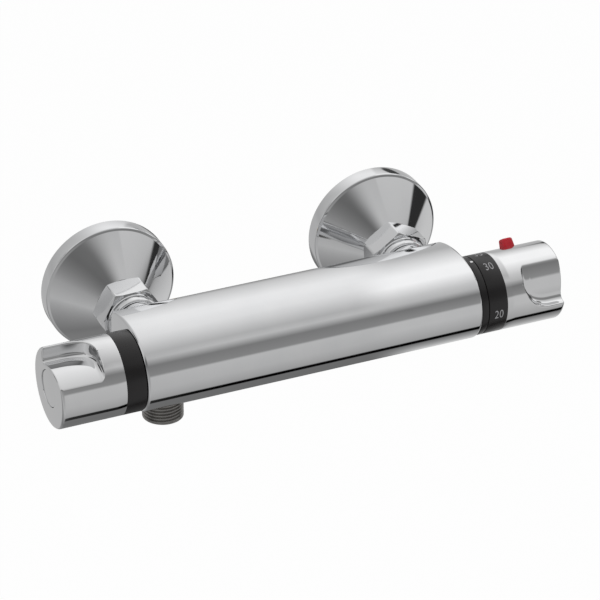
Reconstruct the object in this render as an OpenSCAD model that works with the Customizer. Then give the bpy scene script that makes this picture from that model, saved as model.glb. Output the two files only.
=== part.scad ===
// Thermostatic bar shower valve for a wall, in millimetres.
// The wall is the plane y = 0 and the valve stands in front of it, towards -y.
// The origin is half-way between the two inlets, x runs along the bar and z is up.
// Cold and hot water come in at the back, mixed water leaves at the nipple underneath.

/* [Bar body] */
// Distance from the wall to the axis of the bar
bar_depth = 87; // [85:0.5:95]
// Distance between the centres of the two inlets
inlet_spacing = 150; // [148:0.5:160]
// Radius of the round front of the body
front_r = 21.2; // [21:0.1:23]
// Distance from the axis of the bar to the flat back of the body
back_reach = 31; // [30.5:0.5:33]
// Radius of the two long back corners
back_corner_r = 4; // [3:0.5:5]
// Height of the centre of each back corner above the axis
back_corner_rise = 14; // [13:0.5:15]
// Rounding of the edges round the two end faces
body_edge_r = 1.5; // [0.5:0.1:2]
// Length of body past the left inlet
left_overhang = 18; // [17:0.5:22]
// Length of body past the right inlet
right_overhang = 13.3; // [13:0.1:18]
// Radius of the round neck that each ring turns on
neck_r = 16.5; // [16.3:0.1:17]

/* [Knobs and rings] */
// Radius of the knobs and of the black rings
knob_r = 20.5; // [20:0.1:20.8]
// Length of a knob from its ring to its end face
knob_len = 33.5; // [32:0.5:36]
// Wall of a knob
knob_wall = 2.2; // [1.8:0.1:2.4]
// Rounding of the outer edge of a knob
knob_edge_r = 1.6; // [0.8:0.1:1.8]
// Length of the black ring on the flow side
flow_ring_len = 10.2; // [9:0.1:12]
// Length of the black ring that carries the numbers
scale_ring_len = 9.7; // [9:0.1:11]
// Length of the fixed black ring that carries the pointer dot
marker_ring_len = 5.2; // [4.5:0.1:6]
// Radius of the round cap in the end of each knob
cap_r = 9.5; // [8.5:0.1:10.5]

/* [Grip pocket] */
// Distance along the knob from its ring to the closed end of the pocket
pocket_start = 10; // [9:0.5:13]
// Distance from the knob's axis to the pocket's upright wall
pocket_wall_u = 8; // [7:0.25:9]
// Radius of the pocket's gently rounded floor
pocket_floor_r = 27; // [26:0.5:30]
// Height of the crown of the pocket's floor above the knob's axis
pocket_floor_height = 12.75; // [12.5:0.25:13.5]
// Sideways place of the crown of the floor
pocket_crown_u = -5; // [-6:0.25:-4]
// Radius between the floor and the upright wall
pocket_fillet_r = 2.5; // [1.5:0.25:3]
// Radius of the corner at the closed end, seen from above
pocket_corner_r = 13; // [10:0.5:14]

/* [Unions and flanges] */
// Radius of the half inch pipe thread at the wall and at the outlet
half_inch_r = 10.48; // [10.3:0.01:10.6]
// Radius of the three quarter inch pipe thread under each union nut
three_quarter_r = 13.22; // [13:0.01:13.4]
// Drop of each wall tail below its inlet
eccentric_drop = 6; // [0:0.5:7]
// Length of each wall tail behind the wall plane
wall_tail_len = 22; // [15:1:30]
// Radius of the wall flange
flange_r = 35; // [33:0.5:38]
// Length of the flange's straight rim
flange_rim_len = 8; // [6:0.5:9]
// Length of the round boss between the body and each union nut
boss_len = 9.4; // [8:0.1:10]
// Radius of the flange's small end
flange_nose_r = 15; // [14.8:0.1:16]
// Thickness of the flange's sheet
flange_sheet = 1.2; // [0.8:0.1:1.5]
// Width across the flats of a union nut
union_nut_af = 30; // [29.5:0.5:32]
// Length of the six-sided part of a union nut
union_nut_hex_len = 14; // [13:0.5:15]
// Length of the round collar of a union nut
union_nut_collar_len = 5; // [4:0.5:5.5]
// Clocking of the left union nut
left_nut_turn = 32; // [0:0.5:60]
// Clocking of the right union nut
right_nut_turn = 5.5; // [0:0.5:60]

/* [Outlet] */
// Distance from the bar's axis back to the axis of the outlet
outlet_back = 7; // [5:0.5:8]
// Distance from the bar's axis down to the end of the outlet nipple
outlet_drop = 35; // [33:0.5:38]
// Radius of the outlet's waterway
outlet_bore_r = 7.5; // [6:0.25:8]

/* [Dial and button] */
// Turn of the temperature knob from rest to its hottest stop
hot_turn = 94; // [80:1:100]
// Turn of the temperature knob from rest to its coldest stop
cold_turn = 110; // [100:1:115]
// Angle of the button from the front of the bar, upwards
button_angle = 127; // [120:1:135]
// Width of the red button
button_w = 6.5; // [6:0.1:7]
// Height of the red button above the knob
button_rise = 6.8; // [6:0.1:7.5]
// Travel of the red button
button_travel = 2.2; // [1.5:0.1:2.5]
// Distance along the knob from its ring to the button's centre
button_along = 15.5; // [15:0.5:18]

/* [Fits] */
// Radial gap between two fixed pieces that fit into each other
fit_gap = 0.1; // [0.05:0.01:0.15]
// Radial gap between a shaft or slider and its bore
run_gap = 0.05; // [0.02:0.01:0.1]
// Gap between a turning face and the fixed face beside it
turn_gap = 0.3; // [0.2:0.05:0.5]

/* [Hidden] */

$fn = 72;
hull_fn = 36;
// Overrun of a cut past the face that it leaves
cut = 1;
// Chamfer circles of a hexagon, and the round collar of a union nut, as shares of the width across flats
hex_face_share = 0.52;
hex_corner_share = 0.6;
nut_collar_share = 0.45;

CHROME = [0.80, 0.81, 0.82];
BRASS = [0.72, 0.60, 0.36];
STEEL = [0.60, 0.61, 0.63];
BLACK = [0.12, 0.11, 0.12];
RUBBER = [0.15, 0.15, 0.16];
WHITE_PLASTIC = [0.88, 0.88, 0.85];
RED = [0.75, 0.05, 0.10];
CERAMIC = [0.93, 0.92, 0.88];

// Places along the bar, measured outwards from its middle
inlet_x = inlet_spacing / 2;
left_end_x = inlet_x + left_overhang;
right_end_x = inlet_x + right_overhang;
flow_ring_x = left_end_x + turn_gap;
flow_knob_x = flow_ring_x + flow_ring_len;
scale_ring_x = right_end_x + marker_ring_len + turn_gap;
temp_knob_x = scale_ring_x + scale_ring_len;

// Places on the inlets, measured from the wall towards the bar
body_back_z = bar_depth - back_reach;
boss_gap = 0.6;
boss_z = body_back_z - boss_len;
boss_r = 12.5;
nut_end_z = boss_z - boss_gap;
nut_hex_end_z = nut_end_z - union_nut_collar_len;
nut_start_z = nut_hex_end_z - union_nut_hex_len;
union_nut_lip = 1;
flange_len = nut_start_z - 2 * fit_gap;
thread_depth = 1.2;
tail_flange_t = 2.5;
tail_flange_r = three_quarter_r - thread_depth;
tail_flange_end_z = nut_hex_end_z - union_nut_lip;
tail_flange_z = tail_flange_end_z - tail_flange_t;
washer_t = 2.4;
union_front_z = tail_flange_z - washer_t;
tail_in_body = 6;
tail_end_z = body_back_z + tail_in_body;
inlet_chamber_depth = 13.5;
inlet_chamber_z = body_back_z + inlet_chamber_depth;

// Waterways in the body
chamber_r = 13;
cartridge_r = 14;
cartridge_thread_r = 15;
mixed_r = 8;
gallery_r = 3.7;
gallery_cover = 9.5;
gallery_back = back_reach - gallery_cover;
gallery_port_r = 3.5;
inlet_port_r = 6;
flow_neck_len = 4;
flow_neck_end_x = left_end_x + flow_neck_len;
temp_neck_len = 7.7;
temp_neck_end_x = right_end_x + temp_neck_len;

// Flow headpart, measured from its seat in the body outwards
flow_chamber_len = 24;
flow_seat_x = flow_neck_end_x - flow_chamber_len;
seat_seal_t = 1.5;
disc_r = 9.3;
disc_t = 3;
disc_port_r = 7.3;
disc_core_r = 2.4;
disc_port_angle = 80;
disc_slot_w = 6;
disc_slot_t = 1.2;
face_gap = 0.05;
fixed_disc_x = flow_seat_x + seat_seal_t;
moving_disc_x = fixed_disc_x + disc_t + face_gap;
driver_x = moving_disc_x + disc_t - disc_slot_t + face_gap;
driver_head_len = 3.5;
driver_end_x = moving_disc_x + disc_t + driver_head_len;
sleeve_wall = 1.8;
sleeve_roof = 2;
sleeve_end_x = driver_end_x + sleeve_roof;
headpart_flange_len = 4.5;
headpart_flange_af = 27;
headpart_nose_r = 7.5;
headpart_nose_len = 7;
stem_r = 4.9;
stem_seal_r = 0.72;
stem_seal_step = 3.2;
spline_r = 3.9;
spline_sides = 12;

// Inside of a knob, measured from its ring outwards
hub_r = 8.5;
adapter_af = 12.2;
adapter_flange_r = 9.4;
adapter_start = 5.2;
adapter_flange_t = 2.4;
hub_start = adapter_start + adapter_flange_t + fit_gap;
adapter_web_t = 4;
knob_web_t = 3;
knob_end_wall = 3;
cap_t = 1.7;
cap_recess = 2;
screw_r = 2;
screw_head_r = 3.9;
screw_head_t = 2.8;
screw_grip = 8;
screw_socket_floor = 1;
cap_skirt = 0.8;
cap_skirt_wall = 1.2;
cap_to_screw = 0.4;
screw_seat = knob_len - cap_recess - cap_skirt - cap_to_screw - screw_head_t;
adapter_end = screw_seat - knob_web_t - turn_gap;
spindle_top = adapter_end - adapter_web_t - turn_gap;
spline_start = adapter_start - cut;
spigot_len = 3.5;
ring_wall = 2.8;
spigot_wall = 1.5;

// Thermostatic cartridge, measured outwards from the middle of the bar
cartridge_x = 22;
housing_wall = 3.4;
housing_setback = 4.3;
housing_end_x = right_end_x - housing_setback;
housing_bore_r = cartridge_r - fit_gap - housing_wall;
seal_wire_r = 0.85;
seal_mean_r = cartridge_r - seal_wire_r - run_gap;
mixed_seal_along = 18;
mixed_seal_x = cartridge_x + mixed_seal_along;
hot_port_along = 25;
hot_port_x = cartridge_x + hot_port_along;
middle_seal_along = 36;
middle_seal_x = cartridge_x + middle_seal_along;
cold_port_offset = 5;
cold_port_x = inlet_x - cold_port_offset;
outer_seal_inset = 1.7;
outer_seal_x = housing_end_x - outer_seal_inset;
port_len = 6;
port_w = 9;
shuttle_offset = 5;
shuttle_x = hot_port_x + shuttle_offset;
shuttle_len = 15;
shuttle_wall = 1.6;
shuttle_web_t = 2;
element_bulb_r = 5.4;
element_flange_r = 6.8;
element_flange_t = 2;
bulb_offset = 4;
element_bulb_x = cartridge_x + bulb_offset;
bulb_room = 1.4;
housing_hole_r = 1.6;
shuttle_hole_room = 0.6;
shuttle_hole_r = 1;
piston_r = 1.9;
adjuster_r = 8.6;
adjuster_room = 3.4;
adjuster_x = shuttle_x + shuttle_len + adjuster_room;
adjuster_len = 19;
adjuster_flat = 7.8;
adjuster_thread_r = 4.5;
adjuster_spring_r = 6.2;
adjuster_spring_len = 12;
cup_t = 2.4;
piston_end_x = adjuster_x + run_gap;
nut_thread_len = 10;
cartridge_nut_x = temp_neck_end_x - nut_thread_len;
cartridge_nut_af = 29;
cartridge_nut_collar_len = 4;
cartridge_nose_r = 8;
cartridge_nose_len = 6;
spindle_collar_r = 8.2;
spindle_collar_t = 2.4;
stop_ring_t = 4.6;
stop_ring_r = 12.2;
stop_lug_r = 15.2;
stop_lug_len = 4.4;
stop_ring_x = temp_neck_end_x + cartridge_nut_collar_len;
stop_rise = temp_knob_x + adapter_start - turn_gap - stop_ring_x;
stop_lug_w = 30;
stop_slack = 1;

// Button, measured outwards from the knob's axis
button_corner_r = 1.3;
button_gap = 0.15;
button_foot_t = 1.2;
button_foot_over = 1;
button_foot_drop = 0.9;
button_foot_top = knob_r - knob_wall - button_foot_drop;
button_pad_r = 3.2;
button_pad_top = 9.6;
button_pin_r = 1.3;
button_pin_len = 2;

// Springs
spring_steps = 14;
spring_sides = 6;

// Frames

// Puts a piece on the left end of the bar: its z points away from the middle and its x to the front
module left_end(along) {
    translate([-along, -bar_depth, 0]) rotate([90, 0, -90]) children();
}

// Puts a piece on the right end of the bar in the same way, turned half round
module right_end(along) {
    translate([along, -bar_depth, 0]) rotate([-90, 0, -90]) children();
}

// Puts a piece on an inlet: its z points from the wall to the bar
module inlet(side) {
    translate([side * inlet_x, 0, 0]) rotate([90, 0, 0]) children();
}

// Shared shapes

module tube(outer, inner, len) {
    difference() {
        cylinder(r = outer, h = len);
        translate([0, 0, -cut]) cylinder(r = inner, h = len + 2 * cut);
    }
}

module hexagon(flats, len) {
    rotate([0, 0, 30]) cylinder(r = flats / sqrt(3), h = len, $fn = 6);
}

// Six-sided bar whose corners are turned off at both ends
module turned_hexagon(flats, len) {
    face_r = flats * hex_face_share;
    corner_r = flats * hex_corner_share;
    rise = (corner_r - face_r) * tan(30);
    intersection() {
        hexagon(flats, len);
        rotate_extrude() polygon([[0, 0], [face_r, 0], [corner_r, rise],
                                  [corner_r, len - rise], [face_r, len], [0, len]]);
    }
}

// Cylinder with its far edge rounded
module rounded_bar(r, len, edge) {
    steps = 6;
    arc = [for (i = [0 : steps]) [r - edge + edge * cos(90 * i / steps),
                                  len - edge + edge * sin(90 * i / steps)]];
    rotate_extrude() polygon(concat([[0, 0], [r, 0]], arc, [[0, len]]));
}

// Slice of a round plate between two angles
module sector(inner, outer, from, to, len) {
    steps = 8;
    function ray(r, i) = [r * cos(from + (to - from) * i / steps),
                          r * sin(from + (to - from) * i / steps)];
    linear_extrude(len) polygon(concat([for (i = [0 : steps]) ray(outer, i)],
                                       [for (i = [steps : -1 : 0]) ray(inner, i)]));
}

module ring_seal(mean_r, wire_r) {
    rotate_extrude($fn = 48) translate([mean_r, 0]) circle(r = wire_r, $fn = 24);
}

// Wound wire spring that stands on z = 0, as one unbroken tube
module coil(mean_r, wire_r, turns, len) {
    rings = turns * spring_steps;
    climb = len - 2 * wire_r;
    points = [for (i = [0 : rings]) for (j = [0 : spring_sides - 1])
        let (turn = 360 * i / spring_steps, side = 360 * j / spring_sides,
             r = mean_r + wire_r * cos(side))
        [r * cos(turn), r * sin(turn), wire_r + climb * i / rings + wire_r * sin(side)]];
    function at(i, j) = i * spring_sides + j % spring_sides;
    sides = [for (i = [0 : rings - 1]) for (j = [0 : spring_sides - 1])
        each [[at(i, j), at(i + 1, j), at(i + 1, j + 1)], [at(i, j), at(i + 1, j + 1), at(i, j + 1)]]];
    first = [for (j = [1 : spring_sides - 2]) [at(0, 0), at(0, j), at(0, j + 1)]];
    last = [for (j = [1 : spring_sides - 2]) [at(rings, 0), at(rings, j + 1), at(rings, j)]];
    polyhedron(points = points, faces = concat(sides, first, last));
}

// Body of the bar

module body_outline() {
    hull() {
        body_round(0, 0, front_r);
        for (side = [-1, 1])
            body_round(back_reach - back_corner_r, side * back_corner_rise, back_corner_r);
    }
}

// One rounded bar of the body's outline, whose axis lies back and up from the bar's axis
module body_round(back, up, r) {
    middle = (left_end_x + right_end_x) / 2;
    translate([(right_end_x - left_end_x) / 2, back - bar_depth, up])
        for (turn = [-90, 90])
            rotate([0, turn, 0]) rounded_bar(r, middle, body_edge_r, $fn = hull_fn);
}

module valve_body() {
    color(CHROME) difference() {
        union() {
            body_outline();
            left_end(left_end_x - cut) cylinder(r = neck_r, h = flow_neck_len + cut);
            right_end(right_end_x - cut) cylinder(r = neck_r, h = temp_neck_len + cut);
            for (side = [-1, 1])
                inlet(side) translate([0, 0, boss_z])
                    cylinder(r = boss_r, h = body_back_z - boss_z + cut);
        }
        flow_waterways();
        cartridge_waterways();
        inlet_waterways();
        outlet_waterway();
    }
}

// Chamber for the flow headpart, and the mixed water's way to its seat
module flow_waterways() {
    left_end(flow_seat_x) cylinder(r = chamber_r, h = flow_neck_end_x - flow_seat_x + cut);
    left_end(-cartridge_x) cylinder(r = mixed_r, h = flow_seat_x + cartridge_x + cut);
}

// Bore for the cartridge, its thread, and the hot gallery with its port
module cartridge_waterways() {
    right_end(cartridge_x) cylinder(r = cartridge_r, h = temp_neck_end_x - cartridge_x + cut);
    right_end(cartridge_nut_x - cut)
        cylinder(r = cartridge_thread_r, h = nut_thread_len + 2 * cut);
    translate([-inlet_x, gallery_back - bar_depth, 0]) rotate([0, 90, 0])
        cylinder(r = gallery_r, h = inlet_x + hot_port_x + gallery_port_r);
    translate([hot_port_x, gallery_back - bar_depth, 0]) rotate([90, 0, 0])
        cylinder(r = gallery_port_r, h = gallery_back - cartridge_r + 2 * cut);
}

module inlet_waterways() {
    for (side = [-1, 1])
        inlet(side) translate([0, 0, boss_z - cut])
            cylinder(r = half_inch_r + run_gap, h = inlet_chamber_z - boss_z + cut);
    inlet(1) translate([0, 0, inlet_chamber_z - cut])
        cylinder(r = inlet_port_r, h = bar_depth - inlet_chamber_z);
}

nipple_clearance = 0.3;
nipple_shoulder_z = front_r + nipple_clearance;
nipple_root_r = 9.5;
nipple_root_depth = 7.2;
module outlet_waterway() {
    translate([-inlet_x, outlet_back - bar_depth, -front_r - cut])
        cylinder(r = nipple_root_r + run_gap, h = front_r + cut);
}

nipple_edge = 0.9;
module outlet_nipple() {
    color(STEEL) translate([-inlet_x, outlet_back - bar_depth, -outlet_drop]) difference() {
        union() {
            rotate_extrude() polygon([[0, 0], [half_inch_r - nipple_edge, 0], [half_inch_r, nipple_edge],
                [half_inch_r, outlet_drop - nipple_shoulder_z], [0, outlet_drop - nipple_shoulder_z]]);
            cylinder(r = nipple_root_r, h = outlet_drop - front_r + nipple_root_depth);
        }
        translate([0, 0, -cut]) cylinder(r = outlet_bore_r, h = outlet_drop + cut);
    }
}

module marker_ring() {
    color(BLACK) right_end(right_end_x) tube(knob_r, neck_r + fit_gap, marker_ring_len);
}

// Inlets, from the wall to the bar

flange_shoulder_t = 1;
flange_shoulder_w = 1.4;
shoulder_round_share = 0.18;

// Outline of a flange, moved inwards by a distance, with its rim against the wall
module flange_profile(inset) {
    rim_r = flange_r - inset;
    rotate_extrude() polygon([[0, -inset], [rim_r, -inset], [rim_r, flange_rim_len],
        [rim_r - flange_shoulder_w * shoulder_round_share, flange_rim_len + flange_shoulder_t / 2],
        [rim_r - flange_shoulder_w, flange_rim_len + flange_shoulder_t],
        [flange_nose_r - inset / 2, flange_len - inset], [0, flange_len - inset]]);
}

module wall_flange(side) {
    color(CHROME) inlet(side) difference() {
        flange_profile(0);
        flange_profile(flange_sheet);
        cylinder(r = three_quarter_r + 2 * fit_gap, h = flange_len + cut);
    }
}

union_collar_r = 16.5;
union_collar_t = 4.5;
union_collar_flats = 30;
tail_bore_r = 7.5;
union_bore_r = 9;
module eccentric_union(side) {
    color(BRASS) inlet(side) difference() {
        union() {
            translate([0, -eccentric_drop, -wall_tail_len])
                cylinder(r = half_inch_r, h = wall_tail_len + cut);
            translate([0, -eccentric_drop / 2, 0]) intersection() {
                cylinder(r = union_collar_r, h = union_collar_t);
                translate([-union_collar_flats / 2, -union_collar_r, 0])
                    cube([union_collar_flats, 2 * union_collar_r, union_collar_t]);
            }
            cylinder(r = three_quarter_r, h = union_front_z);
        }
        translate([0, -eccentric_drop, -wall_tail_len - cut])
            cylinder(r = tail_bore_r, h = wall_tail_len + union_collar_t + cut);
        cylinder(r = union_bore_r, h = union_front_z + cut);
    }
}

module filter_washer(side) {
    color(RUBBER) inlet(side) translate([0, 0, union_front_z])
        tube(tail_flange_r, tail_bore_r, washer_t);
}

module union_nut(side, clocking) {
    color(CHROME) inlet(side) translate([0, 0, nut_start_z]) difference() {
        union() {
            rotate([0, 0, clocking - 60]) turned_hexagon(union_nut_af, union_nut_hex_len);
            translate([0, 0, union_nut_hex_len - cut])
                rounded_bar(union_nut_af * nut_collar_share, union_nut_collar_len + cut, body_edge_r);
        }
        translate([0, 0, -cut])
            cylinder(r = three_quarter_r + fit_gap, h = tail_flange_end_z - nut_start_z + cut);
        cylinder(r = half_inch_r + 2 * fit_gap, h = nut_end_z - nut_start_z + cut);
    }
}

check_bore_r = 7.7;
check_setback = 12;
check_x = body_back_z - check_setback;
check_ledge = 1;
check_len = 16;
module inlet_tail(side) {
    color(BRASS) inlet(side) difference() {
        union() {
            translate([0, 0, tail_flange_z]) cylinder(r = tail_flange_r, h = tail_flange_t);
            translate([0, 0, tail_flange_z]) cylinder(r = half_inch_r, h = tail_end_z - tail_flange_z);
        }
        translate([0, 0, tail_flange_z - cut])
            cylinder(r = check_bore_r, h = check_x + check_len - tail_flange_z + cut);
        translate([0, 0, tail_flange_z]) cylinder(r = check_bore_r - check_ledge, h = tail_end_z);
    }
}

// Check valve in each inlet tail: a seat ring, a sleeve and a bar that guides the stem
check_seat_t = 3;
check_seat_r = 4.5;
check_sleeve_r = 6.4;
check_guide_t = 2.6;
check_stem_r = 1.5;
check_head_r = 5.6;
check_head_t = 2;
check_guide_w = 5;
module check_valve_body(side) {
    guide_z = check_len - check_guide_t;
    color(WHITE_PLASTIC) inlet(side) translate([0, 0, check_x]) difference() {
        union() {
            tube(check_bore_r - fit_gap, check_seat_r, check_seat_t);
            tube(check_bore_r - fit_gap, check_sleeve_r, check_len);
            translate([0, 0, guide_z]) intersection() {
                cylinder(r = check_bore_r - fit_gap, h = check_guide_t);
                translate([-check_bore_r, -check_guide_w / 2, 0])
                    cube([2 * check_bore_r, check_guide_w, check_guide_t]);
            }
        }
        translate([0, 0, guide_z - cut])
            cylinder(r = check_stem_r + run_gap, h = check_guide_t + 2 * cut);
    }
}

module check_valve_poppet(side) {
    color(WHITE_PLASTIC) inlet(side) translate([0, 0, check_x + check_seat_t + face_gap]) {
        cylinder(r = check_head_r, h = check_head_t);
        cylinder(r = check_stem_r, h = check_len - check_seat_t - cut);
    }
}

check_spring_r = 3.1;
check_wire_r = 0.35;
module check_valve_spring(side) {
    start = check_seat_t + check_head_t + 2 * face_gap;
    color(STEEL) inlet(side) translate([0, 0, check_x + start])
        coil(check_spring_r, check_wire_r, 5, check_len - check_guide_t - start - face_gap);
}

// Flow side

module flow_headpart() {
    nose_x = flow_neck_end_x + headpart_flange_len;
    color(BRASS) left_end(0) difference() {
        union() {
            translate([0, 0, fixed_disc_x])
                cylinder(r = disc_r + fit_gap + sleeve_wall, h = sleeve_end_x - fixed_disc_x + cut);
            translate([0, 0, sleeve_end_x])
                cylinder(r = chamber_r - fit_gap, h = flow_neck_end_x - sleeve_end_x + cut);
            translate([0, 0, flow_neck_end_x]) turned_hexagon(headpart_flange_af, headpart_flange_len);
            translate([0, 0, nose_x - cut]) cylinder(r = headpart_nose_r, h = headpart_nose_len + cut);
        }
        translate([0, 0, fixed_disc_x - cut])
            cylinder(r = disc_r + fit_gap, h = driver_end_x + turn_gap - fixed_disc_x + cut);
        cylinder(r = stem_r + run_gap, h = nose_x + headpart_nose_len + cut);
        for (turn = [45, 135])
            rotate([0, 0, turn]) translate([-chamber_r, -disc_slot_w / 2, moving_disc_x + disc_t])
                cube([2 * chamber_r, disc_slot_w, driver_end_x - moving_disc_x - disc_t]);
    }
}

module flow_seat_seal() {
    color(RUBBER) left_end(flow_seat_x) tube(disc_r, disc_port_r, seat_seal_t);
}

// Ceramic disc with two opposite openings
module ceramic_disc(turn) {
    difference() {
        cylinder(r = disc_r, h = disc_t);
        for (side = [0, 180])
            translate([0, 0, -cut])
                sector(disc_core_r, disc_port_r, turn + side - disc_port_angle / 2,
                       turn + side + disc_port_angle / 2, disc_t + 2 * cut);
    }
}

module flow_fixed_disc() {
    color(CERAMIC) left_end(fixed_disc_x) ceramic_disc(0);
}

module flow_moving_disc() {
    color(CERAMIC) left_end(moving_disc_x) difference() {
        ceramic_disc(90);
        translate([-disc_r - cut, -disc_slot_w / 2, disc_t - disc_slot_t])
            cube([2 * (disc_r + cut), disc_slot_w, disc_slot_t + cut]);
    }
}

// Splined end of a spindle with its tapped hole, from the knob's own zero
module spindle_end() {
    translate([0, 0, spline_start])
        cylinder(r = spline_r, h = spindle_top - spline_start, $fn = spline_sides);
}

module spindle_tapping() {
    translate([0, 0, spindle_top - screw_grip - cut])
        cylinder(r = screw_r + run_gap, h = screw_grip + 2 * cut);
}

module stem_groove() {
    difference() {
        translate([0, 0, -stem_seal_r]) cylinder(r = stem_r + cut, h = 2 * stem_seal_r);
        translate([0, 0, -cut]) cylinder(r = stem_r - 2 * stem_seal_r - run_gap, h = 2 * cut);
    }
}

flow_seal_inset = 3;
flow_seal_x = flow_neck_end_x - flow_seal_inset;
module flow_spindle() {
    color(BRASS) left_end(0) difference() {
        union() {
            translate([0, 0, driver_x]) intersection() {
                cylinder(r = disc_r - fit_gap, h = driver_end_x - driver_x);
                translate([-disc_r, -disc_slot_w / 2 + fit_gap, 0])
                    cube([2 * disc_r, disc_slot_w - 2 * fit_gap, driver_end_x - driver_x]);
            }
            translate([0, 0, driver_end_x - cut])
                cylinder(r = stem_r, h = flow_knob_x + spline_start - driver_end_x + cut);
            translate([0, 0, flow_knob_x]) spindle_end();
        }
        translate([0, 0, flow_knob_x]) spindle_tapping();
        for (i = [0, 1]) translate([0, 0, flow_seal_x + i * stem_seal_step]) stem_groove();
    }
}

module flow_spindle_seals() {
    color(RUBBER) left_end(flow_seal_x)
        for (i = [0, 1])
            translate([0, 0, i * stem_seal_step])
                ring_seal(stem_r - stem_seal_r, stem_seal_r - run_gap / 2);
}

// Knobs, each in its own frame that starts at its ring

// Space that the grip pocket takes; grow moves its floor and walls inwards by a wall
module pocket_space(grow) {
    floor_r = pocket_floor_r - grow;
    floor_n = pocket_floor_height - pocket_floor_r;
    fillet = pocket_fillet_r + grow;
    wall_u = pocket_wall_u + grow;
    fillet_u = wall_u - fillet - pocket_crown_u;
    fillet_n = sqrt(pow(floor_r + fillet, 2) - pow(fillet_u, 2));
    meet = atan2(fillet_n, fillet_u);
    steps = 20;
    fillet_steps = 6;
    reach = 2 * knob_r;
    far = 150;
    floor_arc = [for (i = [0 : steps]) let (a = far + (meet - far) * i / steps)
        [pocket_crown_u + floor_r * cos(a), floor_n + floor_r * sin(a)]];
    fillet_arc = [for (i = [1 : fillet_steps]) let (a = meet + 180 + (180 - meet) * i / fillet_steps)
        [wall_u - fillet + fillet * cos(a), floor_n + fillet_n + fillet * sin(a)]];
    start = pocket_start - grow;
    corner = pocket_corner_r + grow;
    corner_arc = [for (i = [0 : steps / 2]) let (a = -90 + 90 * i / (steps / 2))
        [wall_u - corner + corner * cos(a), start + corner + corner * sin(a)]];
    mirror([1, 0, 0]) intersection() {
        linear_extrude(knob_len + cut)
            polygon(concat(floor_arc, fillet_arc, [[wall_u, reach], [-reach, reach], [-reach, 0]]));
        translate([0, reach, 0]) rotate([90, 0, 0]) linear_extrude(2 * reach)
            polygon(concat(corner_arc,
                [[wall_u, knob_len + cut], [-reach, knob_len + cut], [-reach, start]]));
    }
}

// Knob with its hub, drive socket, screw seat and cap recess; turn sets where its pocket faces
module knob_shell(turn) {
    difference() {
        rounded_bar(knob_r, knob_len, knob_edge_r);
        rotate([0, 0, turn - 90]) pocket_space(0);
        difference() {
            translate([0, 0, -cut]) cylinder(r = knob_r - knob_wall, h = knob_len - knob_end_wall + cut);
            rotate([0, 0, turn - 90]) pocket_space(knob_wall);
            translate([0, 0, hub_start]) cylinder(r = hub_r, h = knob_len);
        }
        translate([0, 0, -cut]) hexagon(adapter_af + 2 * fit_gap, adapter_end + turn_gap + cut);
        translate([0, 0, -cut]) cylinder(r = screw_r + fit_gap, h = knob_len);
        translate([0, 0, screw_seat]) cylinder(r = screw_head_r + turn_gap, h = knob_len);
        translate([0, 0, knob_len - cap_recess]) cylinder(r = cap_r + fit_gap, h = cap_recess + cut);
    }
}

// Black ring that turns with a knob, with the spigot that holds it inside the knob
module knob_ring(len) {
    tube(knob_r, knob_r - ring_wall, len);
    translate([0, 0, len - cut])
        tube(knob_r - knob_wall - fit_gap, knob_r - knob_wall - fit_gap - spigot_wall, spigot_len + cut);
}

// Plastic bush between the spindle's splines and the knob's six-sided socket
module knob_adapter() {
    difference() {
        union() {
            translate([0, 0, adapter_start]) cylinder(r = adapter_flange_r, h = adapter_flange_t);
            translate([0, 0, adapter_start]) hexagon(adapter_af, adapter_end - adapter_start);
        }
        translate([0, 0, adapter_start - cut])
            cylinder(r = spline_r + fit_gap, h = spindle_top + turn_gap - adapter_start + cut,
                     $fn = spline_sides);
        cylinder(r = screw_r + fit_gap, h = knob_len);
    }
}

module knob_screw() {
    shank_start = spindle_top - screw_grip;
    difference() {
        union() {
            translate([0, 0, shank_start]) cylinder(r = screw_r, h = screw_seat - shank_start + cut);
            translate([0, 0, screw_seat]) cylinder(r = screw_head_r, h = screw_head_t);
        }
        translate([0, 0, screw_seat + screw_socket_floor]) hexagon(screw_head_r, screw_head_t);
    }
}

module knob_cap() {
    skirt_r = screw_head_r + turn_gap - fit_gap;
    translate([0, 0, knob_len - cap_recess]) {
        cylinder(r = cap_r, h = cap_t);
        translate([0, 0, -cap_skirt]) tube(skirt_r, skirt_r - cap_skirt_wall, cap_skirt + cap_t / 2);
    }
}

flow_pocket_turn = 90;
temp_pocket_turn = -7.5;

module flow_knob() {
    color(CHROME) left_end(flow_knob_x) knob_shell(flow_pocket_turn);
}

module flow_skirt_ring() {
    color(BLACK) left_end(flow_ring_x) knob_ring(flow_ring_len);
}

module flow_knob_adapter() {
    color(WHITE_PLASTIC) left_end(flow_knob_x) knob_adapter();
}

module flow_knob_screw() {
    color(STEEL) left_end(flow_knob_x) knob_screw();
}

module flow_knob_cap() {
    color(CHROME) left_end(flow_knob_x) knob_cap();
}

// Temperature side

module cartridge_housing() {
    len = housing_end_x - cartridge_x;
    color(BRASS) right_end(cartridge_x) difference() {
        cylinder(r = cartridge_r - fit_gap, h = len);
        translate([0, 0, shuttle_web_t]) cylinder(r = housing_bore_r, h = len);
        for (turn = [0 : 60 : 300])
            rotate([0, 0, turn]) translate([element_bulb_r + bulb_room, 0, -cut])
                cylinder(r = housing_hole_r, h = shuttle_web_t + 2 * cut);
        for (place = [mixed_seal_x, middle_seal_x, outer_seal_x])
            translate([0, 0, place - cartridge_x]) housing_groove();
        for (place = [hot_port_x, cold_port_x])
            for (turn = [0, 90])
                rotate([0, 0, turn])
                    translate([-cartridge_r, -port_w / 2, place - cartridge_x - port_len / 2])
                        cube([2 * cartridge_r, port_w, port_len]);
    }
}

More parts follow.
